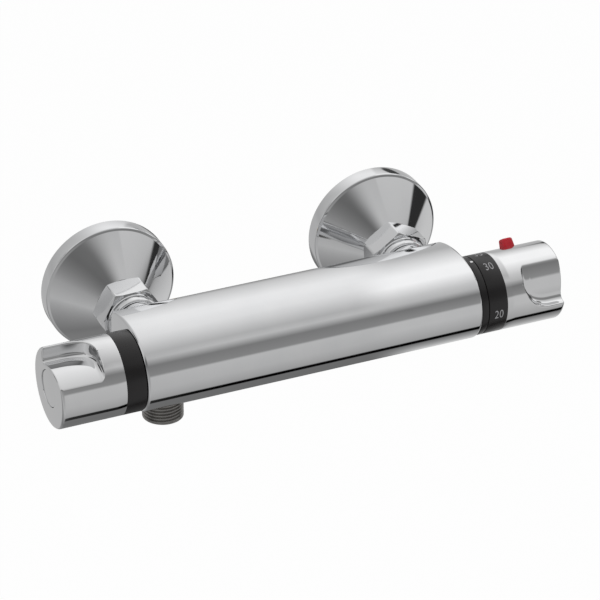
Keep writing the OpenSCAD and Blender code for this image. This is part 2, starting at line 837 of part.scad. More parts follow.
module housing_groove() {
    difference() {
        translate([0, 0, -seal_wire_r]) cylinder(r = cartridge_r + cut, h = 2 * seal_wire_r);
        translate([0, 0, -cut]) cylinder(r = seal_mean_r - seal_wire_r - run_gap, h = 2 * cut);
    }
}

module cartridge_seals() {
    color(RUBBER) for (place = [mixed_seal_x, middle_seal_x, outer_seal_x])
        right_end(place) ring_seal(seal_mean_r, seal_wire_r - run_gap / 2);
}

module shuttle() {
    outer = housing_bore_r - run_gap;
    color(WHITE_PLASTIC) right_end(shuttle_x) difference() {
        union() {
            tube(outer, outer - shuttle_wall, shuttle_len);
            cylinder(r = outer - shuttle_wall / 2, h = shuttle_web_t);
        }
        translate([0, 0, -cut]) cylinder(r = element_bulb_r + fit_gap, h = shuttle_web_t + 2 * cut);
        for (turn = [0 : 60 : 300])
            rotate([0, 0, turn]) translate([element_flange_r + shuttle_hole_room, 0, -cut])
                cylinder(r = shuttle_hole_r, h = shuttle_web_t + 2 * cut);
    }
}

module wax_element() {
    flange_x = shuttle_x + shuttle_web_t;
    color(BRASS) right_end(0) {
        translate([0, 0, element_bulb_x]) cylinder(r = element_bulb_r, h = flange_x - element_bulb_x + cut);
        translate([0, 0, flange_x]) cylinder(r = element_flange_r, h = element_flange_t);
        translate([0, 0, flange_x]) cylinder(r = 2 * piston_r, h = shuttle_len / 2);
        translate([0, 0, flange_x]) cylinder(r = piston_r, h = piston_end_x - flange_x);
    }
}

return_spring_r = 8.6;
return_wire_r = 0.8;
module return_spring() {
    start = cartridge_x + shuttle_web_t + face_gap;
    color(STEEL) right_end(start)
        coil(return_spring_r, return_wire_r, 6, shuttle_x - start - face_gap);
}

// Cup between the element's piston and the overtravel spring
module thrust_cup() {
    color(STEEL) right_end(adjuster_x + 2 * run_gap) {
        cylinder(r = adjuster_spring_r - fit_gap, h = cup_t / 2);
        cylinder(r = adjuster_spring_r / 2, h = cup_t);
    }
}

overtravel_wire_r = 0.9;
module overtravel_spring() {
    start = adjuster_x + cup_t / 2 + 3 * run_gap;
    color(STEEL) right_end(start)
        coil(adjuster_spring_r - overtravel_wire_r - fit_gap, overtravel_wire_r, 4,
             adjuster_x + adjuster_spring_len - start - face_gap);
}

// Sleeve that the spindle's thread draws in and out; two flats keep it from turning
module adjuster() {
    color(BRASS) right_end(adjuster_x) difference() {
        intersection() {
            cylinder(r = adjuster_r, h = adjuster_len);
            translate([-adjuster_flat, -adjuster_r, 0])
                cube([2 * adjuster_flat, 2 * adjuster_r, adjuster_len]);
        }
        translate([0, 0, -cut]) cylinder(r = adjuster_spring_r, h = adjuster_spring_len + cut);
        cylinder(r = adjuster_thread_r, h = adjuster_len + cut);
    }
}

module cartridge_nut() {
    collar_x = cartridge_nut_x + nut_thread_len;
    lip_x = collar_x;
    color(BRASS) right_end(0) difference() {
        union() {
            translate([0, 0, cartridge_nut_x])
                cylinder(r = cartridge_thread_r - fit_gap, h = nut_thread_len + cut);
            translate([0, 0, collar_x]) turned_hexagon(cartridge_nut_af, cartridge_nut_collar_len);
            translate([0, 0, collar_x])
                cylinder(r = cartridge_nose_r, h = cartridge_nut_collar_len + cartridge_nose_len);
        }
        translate([0, 0, cartridge_nut_x - cut])
            cylinder(r = adjuster_r + turn_gap, h = nut_thread_len + cut);
        cylinder(r = stem_r + run_gap, h = lip_x + cartridge_nut_collar_len + cartridge_nose_len + cut);
    }
}

temp_seal_offset = 5;
temp_seal_x = temp_neck_end_x + temp_seal_offset;
module temperature_spindle() {
    collar_end = cartridge_nut_x + nut_thread_len - face_gap;
    collar_start = collar_end - spindle_collar_t;
    thread_start = adjuster_x + adjuster_spring_len + cut;
    color(BRASS) right_end(0) difference() {
        union() {
            translate([0, 0, thread_start])
                cylinder(r = adjuster_thread_r - run_gap, h = collar_start - thread_start + cut);
            translate([0, 0, collar_start]) cylinder(r = spindle_collar_r, h = spindle_collar_t);
            translate([0, 0, collar_start])
                cylinder(r = stem_r, h = temp_knob_x + spline_start - collar_start);
            translate([0, 0, temp_knob_x]) spindle_end();
        }
        translate([0, 0, temp_knob_x]) spindle_tapping();
        translate([0, 0, temp_seal_x]) stem_groove();
    }
}

module temperature_spindle_seal() {
    color(RUBBER) right_end(temp_seal_x) ring_seal(stem_r - stem_seal_r, stem_seal_r - run_gap / 2);
}

// Fixed ring on the cartridge nut; its raised part stops the knob's lug at both ends of the scale
module stop_ring() {
    from = stop_lug_w / 2 + hot_turn + stop_slack;
    to = 360 - stop_lug_w / 2 - cold_turn - stop_slack;
    color(WHITE_PLASTIC) right_end(stop_ring_x) difference() {
        union() {
            cylinder(r = stop_ring_r, h = stop_ring_t);
            sector(cartridge_nose_r + cut, stop_lug_r, from, to, stop_rise);
        }
        translate([0, 0, -cut]) cylinder(r = cartridge_nose_r + fit_gap, h = stop_ring_t + stop_lug_len);
    }
}

module temperature_knob_adapter() {
    color(WHITE_PLASTIC) right_end(temp_knob_x) {
        knob_adapter();
        translate([0, 0, adapter_start])
            sector(adapter_flange_r - cut, stop_lug_r, -stop_lug_w / 2, stop_lug_w / 2, adapter_flange_t);
        translate([0, 0, adapter_start + adapter_flange_t - stop_lug_len])
            sector(stop_ring_r + turn_gap, stop_lug_r, -stop_lug_w / 2, stop_lug_w / 2, stop_lug_len);
    }
}

module scale_ring() {
    color(BLACK) right_end(scale_ring_x) knob_ring(scale_ring_len);
}

// Puts a piece on the temperature knob at the button, with its z pointing out of the knob
module at_button() {
    right_end(temp_knob_x + button_along) rotate([0, 0, -button_angle]) rotate([0, 90, 0]) children();
}

// Upright bar with rounded corners
module soft_square(width, corner, len) {
    side = width - 2 * corner;
    translate([-width / 2, -side / 2, 0]) cube([width, side, len]);
    translate([-side / 2, -width / 2, 0]) cube([side, width, len]);
    for (x = [-1, 1])
        for (y = [-1, 1])
            translate([x * side / 2, y * side / 2, 0]) cylinder(r = corner, h = len, $fn = 24);
}

module temperature_knob() {
    color(CHROME) difference() {
        union() {
            right_end(temp_knob_x) knob_shell(temp_pocket_turn);
            at_button() {
                translate([0, 0, hub_r - cut]) cylinder(r = button_pad_r, h = button_pad_top - hub_r + cut);
                translate([0, 0, hub_r - cut])
                    cylinder(r = button_pin_r, h = button_pad_top + button_pin_len - hub_r + cut);
            }
        }
        at_button() translate([0, 0, knob_r - 2 * knob_wall])
            cube_square(button_w + 2 * button_gap, 2 * knob_wall + cut);
    }
}

module cube_square(width, len) {
    translate([-width / 2, -width / 2, 0]) cube([width, width, len]);
}

module safety_button() {
    foot_z = button_foot_top - button_foot_t;
    color(RED) at_button() difference() {
        union() {
            translate([0, 0, foot_z]) soft_square(button_w, button_corner_r, knob_r + button_rise - foot_z);
            translate([0, 0, foot_z]) cube_square(button_w + 2 * button_foot_over, button_foot_t);
        }
        translate([0, 0, foot_z - cut])
            cylinder(r = button_pad_r - fit_gap * 2, h = button_foot_t + button_travel + cut);
    }
}

button_wire_r = 0.35;
button_spring_r = 2.1;
module safety_button_spring() {
    end_z = button_foot_top + button_travel;
    color(STEEL) at_button() translate([0, 0, button_pad_top + face_gap])
        coil(button_spring_r, button_wire_r, 5, end_z - button_pad_top - 2 * face_gap);
}

module temperature_knob_screw() {
    color(STEEL) right_end(temp_knob_x) knob_screw();
}

module temperature_knob_cap() {
    color(CHROME) right_end(temp_knob_x) knob_cap();
}

valve_body();
outlet_nipple();
marker_ring();
inlet_tail(-1);  // inlet_tail_left
inlet_tail(1);  // inlet_tail_right
union_nut(-1, left_nut_turn);  // union_nut_left
union_nut(1, right_nut_turn);  // union_nut_right
filter_washer(-1);  // filter_washer_left
filter_washer(1);  // filter_washer_right
eccentric_union(-1);  // eccentric_union_left
eccentric_union(1);  // eccentric_union_right
wall_flange(-1);  // wall_flange_left
wall_flange(1);  // wall_flange_right
check_valve_body(-1);  // check_valve_body_left
check_valve_body(1);  // check_valve_body_right
check_valve_spring(-1);  // check_valve_spring_left
check_valve_spring(1);  // check_valve_spring_right
check_valve_poppet(-1);  // check_valve_poppet_left
check_valve_poppet(1);  // check_valve_poppet_right
flow_headpart();
flow_seat_seal();
flow_fixed_disc();
flow_moving_disc();
flow_spindle();
flow_spindle_seals();
flow_knob();
flow_skirt_ring();
flow_knob_adapter();
flow_knob_screw();
flow_knob_cap();
cartridge_housing();
cartridge_seals();
cartridge_nut();
stop_ring();
shuttle();
wax_element();
return_spring();
thrust_cup();
overtravel_spring();
adjuster();
temperature_spindle();
temperature_spindle_seal();
temperature_knob();
scale_ring();
temperature_knob_adapter();
temperature_knob_screw();
temperature_knob_cap();
safety_button();
safety_button_spring();
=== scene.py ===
import math

import bmesh
import bpy
from mathutils import Matrix, Vector, geometry


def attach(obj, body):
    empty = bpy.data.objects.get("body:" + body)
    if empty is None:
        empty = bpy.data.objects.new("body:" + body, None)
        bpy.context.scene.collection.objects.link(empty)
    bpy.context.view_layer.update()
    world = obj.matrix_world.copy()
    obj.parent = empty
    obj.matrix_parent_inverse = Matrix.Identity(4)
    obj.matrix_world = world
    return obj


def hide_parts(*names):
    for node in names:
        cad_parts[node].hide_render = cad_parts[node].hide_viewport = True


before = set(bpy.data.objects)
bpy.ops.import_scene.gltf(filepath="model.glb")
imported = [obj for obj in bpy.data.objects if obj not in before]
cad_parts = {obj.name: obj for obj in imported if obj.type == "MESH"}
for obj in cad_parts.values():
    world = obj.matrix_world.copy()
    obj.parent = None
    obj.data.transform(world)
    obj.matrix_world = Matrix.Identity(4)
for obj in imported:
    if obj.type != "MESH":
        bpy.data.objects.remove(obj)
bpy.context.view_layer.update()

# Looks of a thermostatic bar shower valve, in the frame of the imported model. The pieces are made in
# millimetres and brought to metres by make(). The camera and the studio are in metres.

scene = bpy.context.scene

MM = 0.001
TINY = 1e-7
# Points round a turned piece, and round one whose rim shows large
TURNED_STEPS, RING_STEPS = 144, 192

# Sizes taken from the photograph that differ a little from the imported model, in millimetres
RIGHT_END, RIGHT_NECK = 89.3, 6.7
CROWN_R = 55.0
MARKER_LEN = 3.6
SCALE_RING_X, SCALE_RING_LEN = 93.2, 10.3
BUTTON_RISE = 4.5

# Sizes that repeat those of the part's source, in millimetres
BAR_DEPTH = 87.0
INLET_X = 75.0
LEFT_END, LEFT_NECK = 93.0, 4.0
FRONT_R = 21.2
BACK_REACH, BACK_CORNER_R, BACK_CORNER_RISE = 31.0, 4.0, 14.0
BODY_EDGE = 1.5
NECK_R, NECK_EDGE = 16.5, 0.4
CHAMBER_R, CARTRIDGE_R, MIXED_R = 13.0, 14.0, 8.0
CHAMBER_LEN, CARTRIDGE_X = 24.0, 22.0
NUT_BORE_R, NUT_BORE_LEN = 15.0, 10.0
BOSS_R, BOSS_LEN, BOSS_BORE = 12.5, 9.4, 10.53
KNOB_R, KNOB_LEN, KNOB_WALL, KNOB_END_WALL, KNOB_EDGE = 20.5, 33.5, 2.2, 3.0, 1.6
FLOW_RING_X, FLOW_RING_LEN = 93.3, 10.2
KNOB_X = 103.5
RING_WALL = 2.8
SPIGOT_WALL, SPIGOT_LEN = 1.5, 3.5
CAP_R, CAP_T, CAP_RECESS = 9.5, 1.7, 2.0
FLANGE_R, FLANGE_RIM, FLANGE_LEN, FLANGE_NOSE, FLANGE_SHEET = 35.0, 8.0, 26.8, 15.0, 1.2
FLANGE_BORE = 13.42
NUT_START, NUT_HEX, NUT_COLLAR, NUT_FLATS, NUT_COLLAR_R = 27.0, 14.0, 5.0, 30.0, 13.5
HALF_INCH_R, THREE_QUARTER_R = 10.48, 13.22
THREAD_PITCH, THREAD_DEPTH = 1.814, 1.1
OUTLET_Y, OUTLET_DROP, OUTLET_BORE = -80.0, 35.0, 7.5
BUTTON_X, BUTTON_ANGLE, BUTTON_WIDTH, BUTTON_CORNER = 119.0, 127.0, 6.5, 1.3
BUTTON_FOOT_Z, BUTTON_FOOT_T, BUTTON_FOOT_OVER = 16.2, 1.2, 1.0
BUTTON_BORE_R, BUTTON_BORE_TOP = 3.0, 19.6
SCREW_WELL_R, SCREW_HOLE_R, SCREW_SEAT = 4.2, 2.1, 27.5
SOCKET_FLATS, SOCKET_START, SOCKET_END, HUB_R = 12.4, 7.7, 24.5, 8.5
FIT_GAP = 0.1


def add_object(name, data):
    added = bpy.data.objects.new(name, data)
    scene.collection.objects.link(added)
    return added


# Camera, at the photograph's viewing angle

CAMERA_TARGET = Vector((0.01755, -0.040, -0.01098))
CAMERA_TURNS = (-24.11, 30.51, 0.59)
CAMERA_DISTANCE, CAMERA_LENS = 1.537, 177.7


def aim_camera():
    azimuth, elevation, roll = (math.radians(turn) for turn in CAMERA_TURNS)
    back = Vector((math.sin(azimuth) * math.cos(elevation),
                   -math.cos(azimuth) * math.cos(elevation), math.sin(elevation)))
    level = Vector((math.cos(azimuth), math.sin(azimuth), 0))
    upright = back.cross(level)
    right = math.cos(roll) * level + math.sin(roll) * upright
    up = -math.sin(roll) * level + math.cos(roll) * upright
    place = CAMERA_TARGET + CAMERA_DISTANCE * back
    data = bpy.data.cameras.new("camera")
    data.lens = CAMERA_LENS
    data.sensor_width = 36
    camera = add_object("camera", data)
    camera.matrix_world = Matrix.Translation(place) @ Matrix((right, up, back)).transposed().to_4x4()
    scene.camera = camera


aim_camera()


# Frames, in millimetres, as in the part's source

def left_end(along):
    """On the left end of the bar: z points away from its middle, x to the front and y up."""
    return Matrix(((0, 0, -1, -along), (-1, 0, 0, -BAR_DEPTH), (0, 1, 0, 0), (0, 0, 0, 1)))


def right_end(along):
    """On the right end of the bar: z points away from its middle, x to the front and y down."""
    return Matrix(((0, 0, 1, along), (-1, 0, 0, -BAR_DEPTH), (0, -1, 0, 0), (0, 0, 0, 1)))


def inlet(side):
    """On an inlet: z points from the wall to the bar."""
    return Matrix(((1, 0, 0, side * INLET_X), (0, 0, -1, 0), (0, 1, 0, 0), (0, 0, 0, 1)))


# Materials

def fill(node, values):
    """Sets inputs of a node to plain values."""
    for label, value in values.items():
        node.inputs[label].default_value = value


def add_node(nodes, kind, values=None, **settings):
    node = nodes.new(kind)
    for label, value in settings.items():
        setattr(node, label, value)
    fill(node, values or {})
    return node


def new_material(name):
    material = bpy.data.materials.new(name)
    material.use_nodes = True
    return material, material.node_tree.nodes, material.node_tree.links


def new_finish(name):
    material, nodes, links = new_material(name)
    return material, nodes, links, nodes["Principled BSDF"], nodes.new("ShaderNodeTexCoord").outputs["Object"]


def pattern(nodes, links, place, scale, stretch=(1, 1, 1), detail=3.0, rough=0.5):
    """Noise on the object's own coordinates, drawn out along an axis where stretch is below 1."""
    mapping = add_node(nodes, "ShaderNodeMapping", {"Scale": stretch})
    links.new(place, mapping.inputs["Vector"])
    noise = add_node(nodes, "ShaderNodeTexNoise", {"Scale": scale, "Detail": detail, "Roughness": rough})
    links.new(mapping.outputs["Vector"], noise.inputs["Vector"])
    return noise.outputs["Fac"]


# Nearly all of a noise pattern lies between these values
NOISE_LOW, NOISE_HIGH = 0.3, 0.7


def spread(nodes, links, value, low, high):
    """Maps a pattern onto a range of values."""
    node = add_node(nodes, "ShaderNodeMapRange",
                    {"From Min": NOISE_LOW, "From Max": NOISE_HIGH, "To Min": low, "To Max": high})
    links.new(value, node.inputs["Value"])
    return node.outputs["Result"]


def colours(nodes, links, value, stops):
    """Colour ramp with (position, colour) stops in rising order."""
    ramp = nodes.new("ShaderNodeValToRGB")
    marks = ramp.color_ramp.elements
    marks[0].position, marks[1].position = stops[0][0], stops[-1][0]
    for i, (position, colour) in enumerate(stops):
        mark = marks[0] if i == 0 else marks[-1] if i == len(stops) - 1 else marks.new(position)
        mark.color = (*colour, 1)
    links.new(value, ramp.inputs["Fac"])
    return ramp.outputs["Color"]


def tint(nodes, links, value, dark, light):
    return colours(nodes, links, value, ((NOISE_LOW, dark), (NOISE_HIGH, light)))


def relief(nodes, links, shader, height, distance):
    bump = add_node(nodes, "ShaderNodeBump", {"Strength": 1.0, "Distance": distance})
    links.new(height, bump.inputs["Height"])
    links.new(bump.outputs["Normal"], shader.inputs["Normal"])


def plated(name, dark, light, low, high, wave):
    """Polished plating: faint smears change its gloss, and the casting under it waves a little."""
    material, nodes, links, shader, place = new_finish(name)
    fill(shader, {"Metallic": 1.0})
    smears = pattern(nodes, links, place, 55, (1, 1, 0.5), 4, 0.6)
    links.new(tint(nodes, links, smears, dark, light), shader.inputs["Base Color"])
    links.new(spread(nodes, links, smears, low, high), shader.inputs["Roughness"])
    waves = pattern(nodes, links, place, 28, (0.6, 1, 1), 1)
    relief(nodes, links, shader, waves, wave)
    return material


def turned(name, dark, light, low, high, stretch, scale, depth):
    """Machined metal with fine tool lines across the axis where stretch is largest."""
    material, nodes, links, shader, place = new_finish(name)
    fill(shader, {"Metallic": 1.0})
    lines = pattern(nodes, links, place, scale, stretch, 2, 0.6)
    cloud = pattern(nodes, links, place, 70, (1, 1, 1), 3)
    links.new(tint(nodes, links, cloud, dark, light), shader.inputs["Base Color"])
    links.new(spread(nodes, links, lines, low, high), shader.inputs["Roughness"])
    relief(nodes, links, shader, lines, depth)
    return material


def moulded(name, dark, light, low, high, grain, depth, coat=0.0, sss=0.0):
    """Plastic, rubber or glaze with a fine grain from its mould."""
    material, nodes, links, shader, place = new_finish(name)
    fill(shader, {"Coat Weight": coat, "Coat Roughness": 0.08, "Subsurface Weight": sss,
                  "Subsurface Scale": 0.001})
    cloud = pattern(nodes, links, place, 90, (1, 1, 1), 3)
    links.new(tint(nodes, links, cloud, dark, light), shader.inputs["Base Color"])
    links.new(spread(nodes, links, cloud, low, high), shader.inputs["Roughness"])
    fine = pattern(nodes, links, place, grain, (1, 1, 1), 2)
    relief(nodes, links, shader, fine, depth)
    return material


# The finish of each slot
FINISHES = {
    "chrome_brass": plated("chrome_on_brass", (0.77, 0.775, 0.785), (0.80, 0.803, 0.81),
                           0.045, 0.075, 0.000012),
    "chrome_zinc": plated("chrome_on_zinc", (0.78, 0.783, 0.79), (0.81, 0.812, 0.817), 0.035, 0.06, 0.000008),
    "bare_steel": turned("machined_nipple", (0.30, 0.29, 0.28), (0.42, 0.41, 0.39), 0.22, 0.38,
                         (1, 1, 14), 500, 0.00002),
    "brass": turned("machined_brass", (0.62, 0.45, 0.20), (0.72, 0.54, 0.26), 0.20, 0.36,
                    (14, 1, 1), 420, 0.00002),
    "copper": turned("drawn_copper", (0.72, 0.36, 0.22), (0.80, 0.44, 0.28), 0.18, 0.32,
                     (10, 1, 1), 400, 0.00002),
    "spring_steel": turned("spring_wire", (0.42, 0.42, 0.43), (0.54, 0.54, 0.55), 0.18, 0.30,
                           (1, 1, 1), 900, 0.00001),
    "black_plastic": moulded("black_plastic", (0.006, 0.005, 0.0055), (0.009, 0.0075, 0.008), 0.24, 0.33,
                             2600, 0.000006),
    "white_plastic": moulded("white_plastic", (0.74, 0.73, 0.69), (0.80, 0.79, 0.76), 0.34, 0.46,
                             1800, 0.00001, sss=0.1),
    "red_plastic": moulded("red_plastic", (0.54, 0.003, 0.016), (0.62, 0.006, 0.022), 0.30, 0.42,
                           1500, 0.00001, coat=0.05, sss=0.08),
    "rubber": moulded("seal_rubber", (0.018, 0.018, 0.019), (0.03, 0.03, 0.031), 0.55, 0.7, 2400, 0.00002),
    "ceramic": moulded("lapped_ceramic", (0.84, 0.82, 0.76), (0.88, 0.86, 0.81), 0.16, 0.24, 2000, 0.000004),
}
dial_print = moulded("dial_print", (0.40, 0.40, 0.41), (0.48, 0.48, 0.49), 0.45, 0.6, 3000, 0.000004)
pointer_print = moulded("pointer_print", (0.82, 0.82, 0.82), (0.88, 0.88, 0.88), 0.45, 0.6, 3000, 0.000004)


# Mesh work, in millimetres

def join_loops(mesh, first, second):
    """Faces between two rings of vertices. A ring of one vertex is a pole."""
    if len(first) == 1 and len(second) == 1:
        return
    count = max(len(first), len(second))
    for i in range(count):
        j = (i + 1) % count
        if len(first) == 1:
            mesh.faces.new((first[0], second[j], second[i]))
        elif len(second) == 1:
            mesh.faces.new((first[i], first[j], second[0]))
        else:
            mesh.faces.new((first[i], first[j], second[j], second[i]))


def cover(mesh, loops, closed=False):
    """Faces from each loop of points to the next, and back to the first where closed."""
    rings = [[mesh.verts.new(point) for point in loop] for loop in loops]
    for first, second in zip(rings, rings[1:] + rings[:1] if closed else rings[1:]):
        join_loops(mesh, first, second)
    return rings


def circle(radius, height, count):
    return [(radius * math.cos(math.tau * i / count), radius * math.sin(math.tau * i / count), height)
            for i in range(count)]


def flat_face(mesh, outer, inner=()):
    """Closes a flat outline of vertices, with a hole in it where inner is given."""
    loops = [[v.co for v in loop] for loop in (outer, inner) if loop]
    corners = list(outer) + list(inner)
    for a, b, c in geometry.tessellate_polygon(loops):
        mesh.faces.new((corners[a], corners[b], corners[c]))


def quarter(steps):
    """(1 - cosine, 1 - sine) at even steps of a quarter turn, for rounding an edge."""
    angles = [math.pi / 2 * k / steps for k in range(steps + 1)]
    return [(1 - math.cos(angle), 1 - math.sin(angle)) for angle in angles]


def arc_between(centre, radius, start, end, steps):
    return [(centre[0] + radius * math.cos(start + (end - start) * i / steps),
             centre[1] + radius * math.sin(start + (end - start) * i / steps)) for i in range(steps + 1)]


def corner_arc(corner, before, after, rounding, steps):
    """Arc that rounds a corner between the directions towards its two neighbours."""
    before, after = Vector(before).normalized(), Vector(after).normalized()
    half = before.angle(after) / 2
    reach = rounding / math.tan(half)
    centre = Vector(corner) + (before + after).normalized() * (rounding / math.sin(half))
    start = Vector(corner) + before * reach - centre
    end = Vector(corner) + after * reach - centre
    from_angle = math.atan2(start.y, start.x)
    turn = (math.atan2(end.y, end.x) - from_angle + math.pi) % math.tau - math.pi
    return arc_between(centre, rounding, from_angle, from_angle + turn, steps)


def rounded(points, steps=4):
    """Outline of (radius, height, rounding) corners with each corner rounded."""
    outline = []
    for i, (radius, height, rounding) in enumerate(points):
        corner = Vector((radius, height))
        before = Vector(points[i - 1][:2]) - corner
        after = Vector(points[(i + 1) % len(points)][:2]) - corner
        if not rounding or before.length < TINY or after.length < TINY:
            outline.append((radius, height))
            continue
        slope = math.tan(before.angle(after) / 2)
        # An arc that would take more than 0.45 of a side is made smaller
        most = 0.45 * min(before.length, after.length) * slope
        outline += corner_arc(corner, before, after, min(rounding, most), steps)
    return outline


def lathe(outline, count=128):
    """Mesh of a closed outline of (radius, height) turned round the z axis."""
    mesh = bmesh.new()
    cover(mesh, [circle(r, z, count) if r > TINY else [(0, 0, z)] for r, z in outline], closed=True)
    return mesh


def shaped(work):
    """Mesh of an object as its curve or its node tree makes it."""
    bpy.context.view_layer.update()
    data = bpy.data.meshes.new_from_object(work.evaluated_get(bpy.context.evaluated_depsgraph_get()))
    bpy.data.objects.remove(work)
    mesh = bmesh.new()
    mesh.from_mesh(data)
    return mesh


def make(name, mesh, place, body, slot, replaced=(), angle=32.0, material=None):
    """Puts a mesh made in millimetres in its place, and gives it its finish and its body."""
    bmesh.ops.remove_doubles(mesh, verts=mesh.verts, dist=1e-5)
    bmesh.ops.recalc_face_normals(mesh, faces=mesh.faces)
    data = bpy.data.meshes.new(name)
    mesh.to_mesh(data)
    mesh.free()
    data.transform(Matrix.Scale(MM, 4) @ place)
    data.materials.append(material or FINISHES[slot])
    data.shade_smooth()
    data.set_sharp_from_angle(angle=math.radians(angle))
    piece = add_object(name, data)
    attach(piece, body)
    if replaced:
        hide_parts(*replaced)


# Threads: a node tree that winds a thread into the outer wall of a turned piece

def thread_tree():
    tree = bpy.data.node_groups.new("wind_thread", "GeometryNodeTree")
    face = tree.interface
    face.new_socket("Geometry", in_out="INPUT", socket_type="NodeSocketGeometry")
    for label, value in (("Crest Radius", HALF_INCH_R), ("Depth", THREAD_DEPTH), ("Pitch", THREAD_PITCH),
                         ("Start", 0.0), ("End", 12.0)):
        face.new_socket(label, in_out="INPUT", socket_type="NodeSocketFloat").default_value = value
    face.new_socket("Finish", in_out="INPUT", socket_type="NodeSocketMaterial")
    face.new_socket("Geometry", in_out="OUTPUT", socket_type="NodeSocketGeometry")
    nodes, links = tree.nodes, tree.links
    given = nodes.new("NodeGroupInput").outputs

    def calc(operation, *values):
        node = nodes.new("ShaderNodeMath")
        node.operation = operation
        for socket, value in zip(node.inputs, values):
            if isinstance(value, (int, float)):
                socket.default_value = value
            else:
                links.new(value, socket)
        return node.outputs[0]

    parts = nodes.new("ShaderNodeSeparateXYZ")
    links.new(nodes.new("GeometryNodeInputPosition").outputs[0], parts.inputs[0])
    x, y, z = parts.outputs
    radius = calc("SQRT", calc("ADD", calc("MULTIPLY", x, x), calc("MULTIPLY", y, y)))
    turn = calc("DIVIDE", calc("ARCTAN2", y, x), math.tau)
    climb = calc("SUBTRACT", calc("DIVIDE", z, given["Pitch"]), turn)
    tooth = calc("ABSOLUTE", calc("SUBTRACT", calc("MULTIPLY", calc("FRACT", climb), 2.0), 1.0))
    room = calc("MINIMUM", calc("SUBTRACT", z, given["Start"]), calc("SUBTRACT", given["End"], z))
    run_out = add_node(nodes, "ShaderNodeMapRange", interpolation_type="SMOOTHSTEP")
    links.new(room, run_out.inputs["Value"])
    links.new(given["Pitch"], run_out.inputs["From Max"])
    groove = add_node(nodes, "ShaderNodeMapRange", {"From Min": 0.1, "From Max": 0.9},
                      interpolation_type="SMOOTHERSTEP")
    links.new(tooth, groove.inputs["Value"])
    cut = calc("MULTIPLY", calc("MULTIPLY", groove.outputs[0], given["Depth"]), run_out.outputs[0])
    wanted = calc("DIVIDE", calc("SUBTRACT", given["Crest Radius"], cut), radius)
    moved = nodes.new("ShaderNodeCombineXYZ")
    for socket, value in zip(moved.inputs, (calc("MULTIPLY", x, wanted), calc("MULTIPLY", y, wanted), z)):
        links.new(value, socket)
    on_wall = calc("COMPARE", radius, given["Crest Radius"], 0.01)
    on_thread = calc("MULTIPLY", on_wall, calc("GREATER_THAN", room, 0.0))
    shift = nodes.new("GeometryNodeSetPosition")
    links.new(given["Geometry"], shift.inputs["Geometry"])
    links.new(on_thread, shift.inputs["Selection"])
    links.new(moved.outputs[0], shift.inputs["Position"])
    whole = nodes.new("GeometryNodeRealizeInstances")
    links.new(shift.outputs[0], whole.inputs[0])
    dress = nodes.new("GeometryNodeSetMaterial")
    links.new(whole.outputs[0], dress.inputs["Geometry"])
    links.new(given["Finish"], dress.inputs["Material"])
    links.new(dress.outputs[0], nodes.new("NodeGroupOutput").inputs[0])
    return tree


def through_tree(mesh, tree, settings):
    """Runs a node tree on a mesh."""
    data = bpy.data.meshes.new("work")
    mesh.to_mesh(data)
    mesh.free()
    work = add_object("work", data)
    modifier = work.modifiers.new("tree", "NODES")
    modifier.node_group = tree
    for item in tree.interface.items_tree:
        if item.in_out == "INPUT" and item.name in settings:
            modifier[item.identifier] = settings[item.name]
    return shaped(work)


def thread_wall(radius, start, end, steps_a_turn=14):
    """Rows of an outline close enough for a thread to be wound into them."""
    count = int(abs(end - start) / THREAD_PITCH * steps_a_turn)
    return [(radius, start + (end - start) * i / count) for i in range(count + 1)]


# Body of the bar

def bar_outline(inset):
    """Section of the bar, front to +x and up to +y, moved inwards by inset."""
    front = Vector((0, 0))
    corner = Vector((BACK_CORNER_R - BACK_REACH, BACK_CORNER_RISE))
    # Centre of the crown's arc, which touches the round front and the back corner
    to_front, to_corner, gap = CROWN_R - FRONT_R, CROWN_R - BACK_CORNER_R, corner.length
    along = (to_front ** 2 + gap ** 2 - to_corner ** 2) / (2 * gap)
    aside = math.sqrt(to_front ** 2 - along ** 2)
    way = corner / gap
    crown = way * along - Vector((way.y, -way.x)) * aside
    leave = math.atan2(-crown.y, -crown.x)
    arrive = math.atan2(corner.y - crown.y, corner.x - crown.x)
    top = [(front, FRONT_R, 0.0, leave, 75), (crown, CROWN_R, leave, arrive, 40),
           (corner, BACK_CORNER_R, arrive, math.pi, 20)]
    points = []
    for centre, radius, start, end, steps in top:
        points += arc_between(centre, radius - inset, start, end, steps)[:-1]
    points.append((corner.x - (BACK_CORNER_R - inset), corner.y))
    return points + [(x, -y) for x, y in reversed(points[1:])]


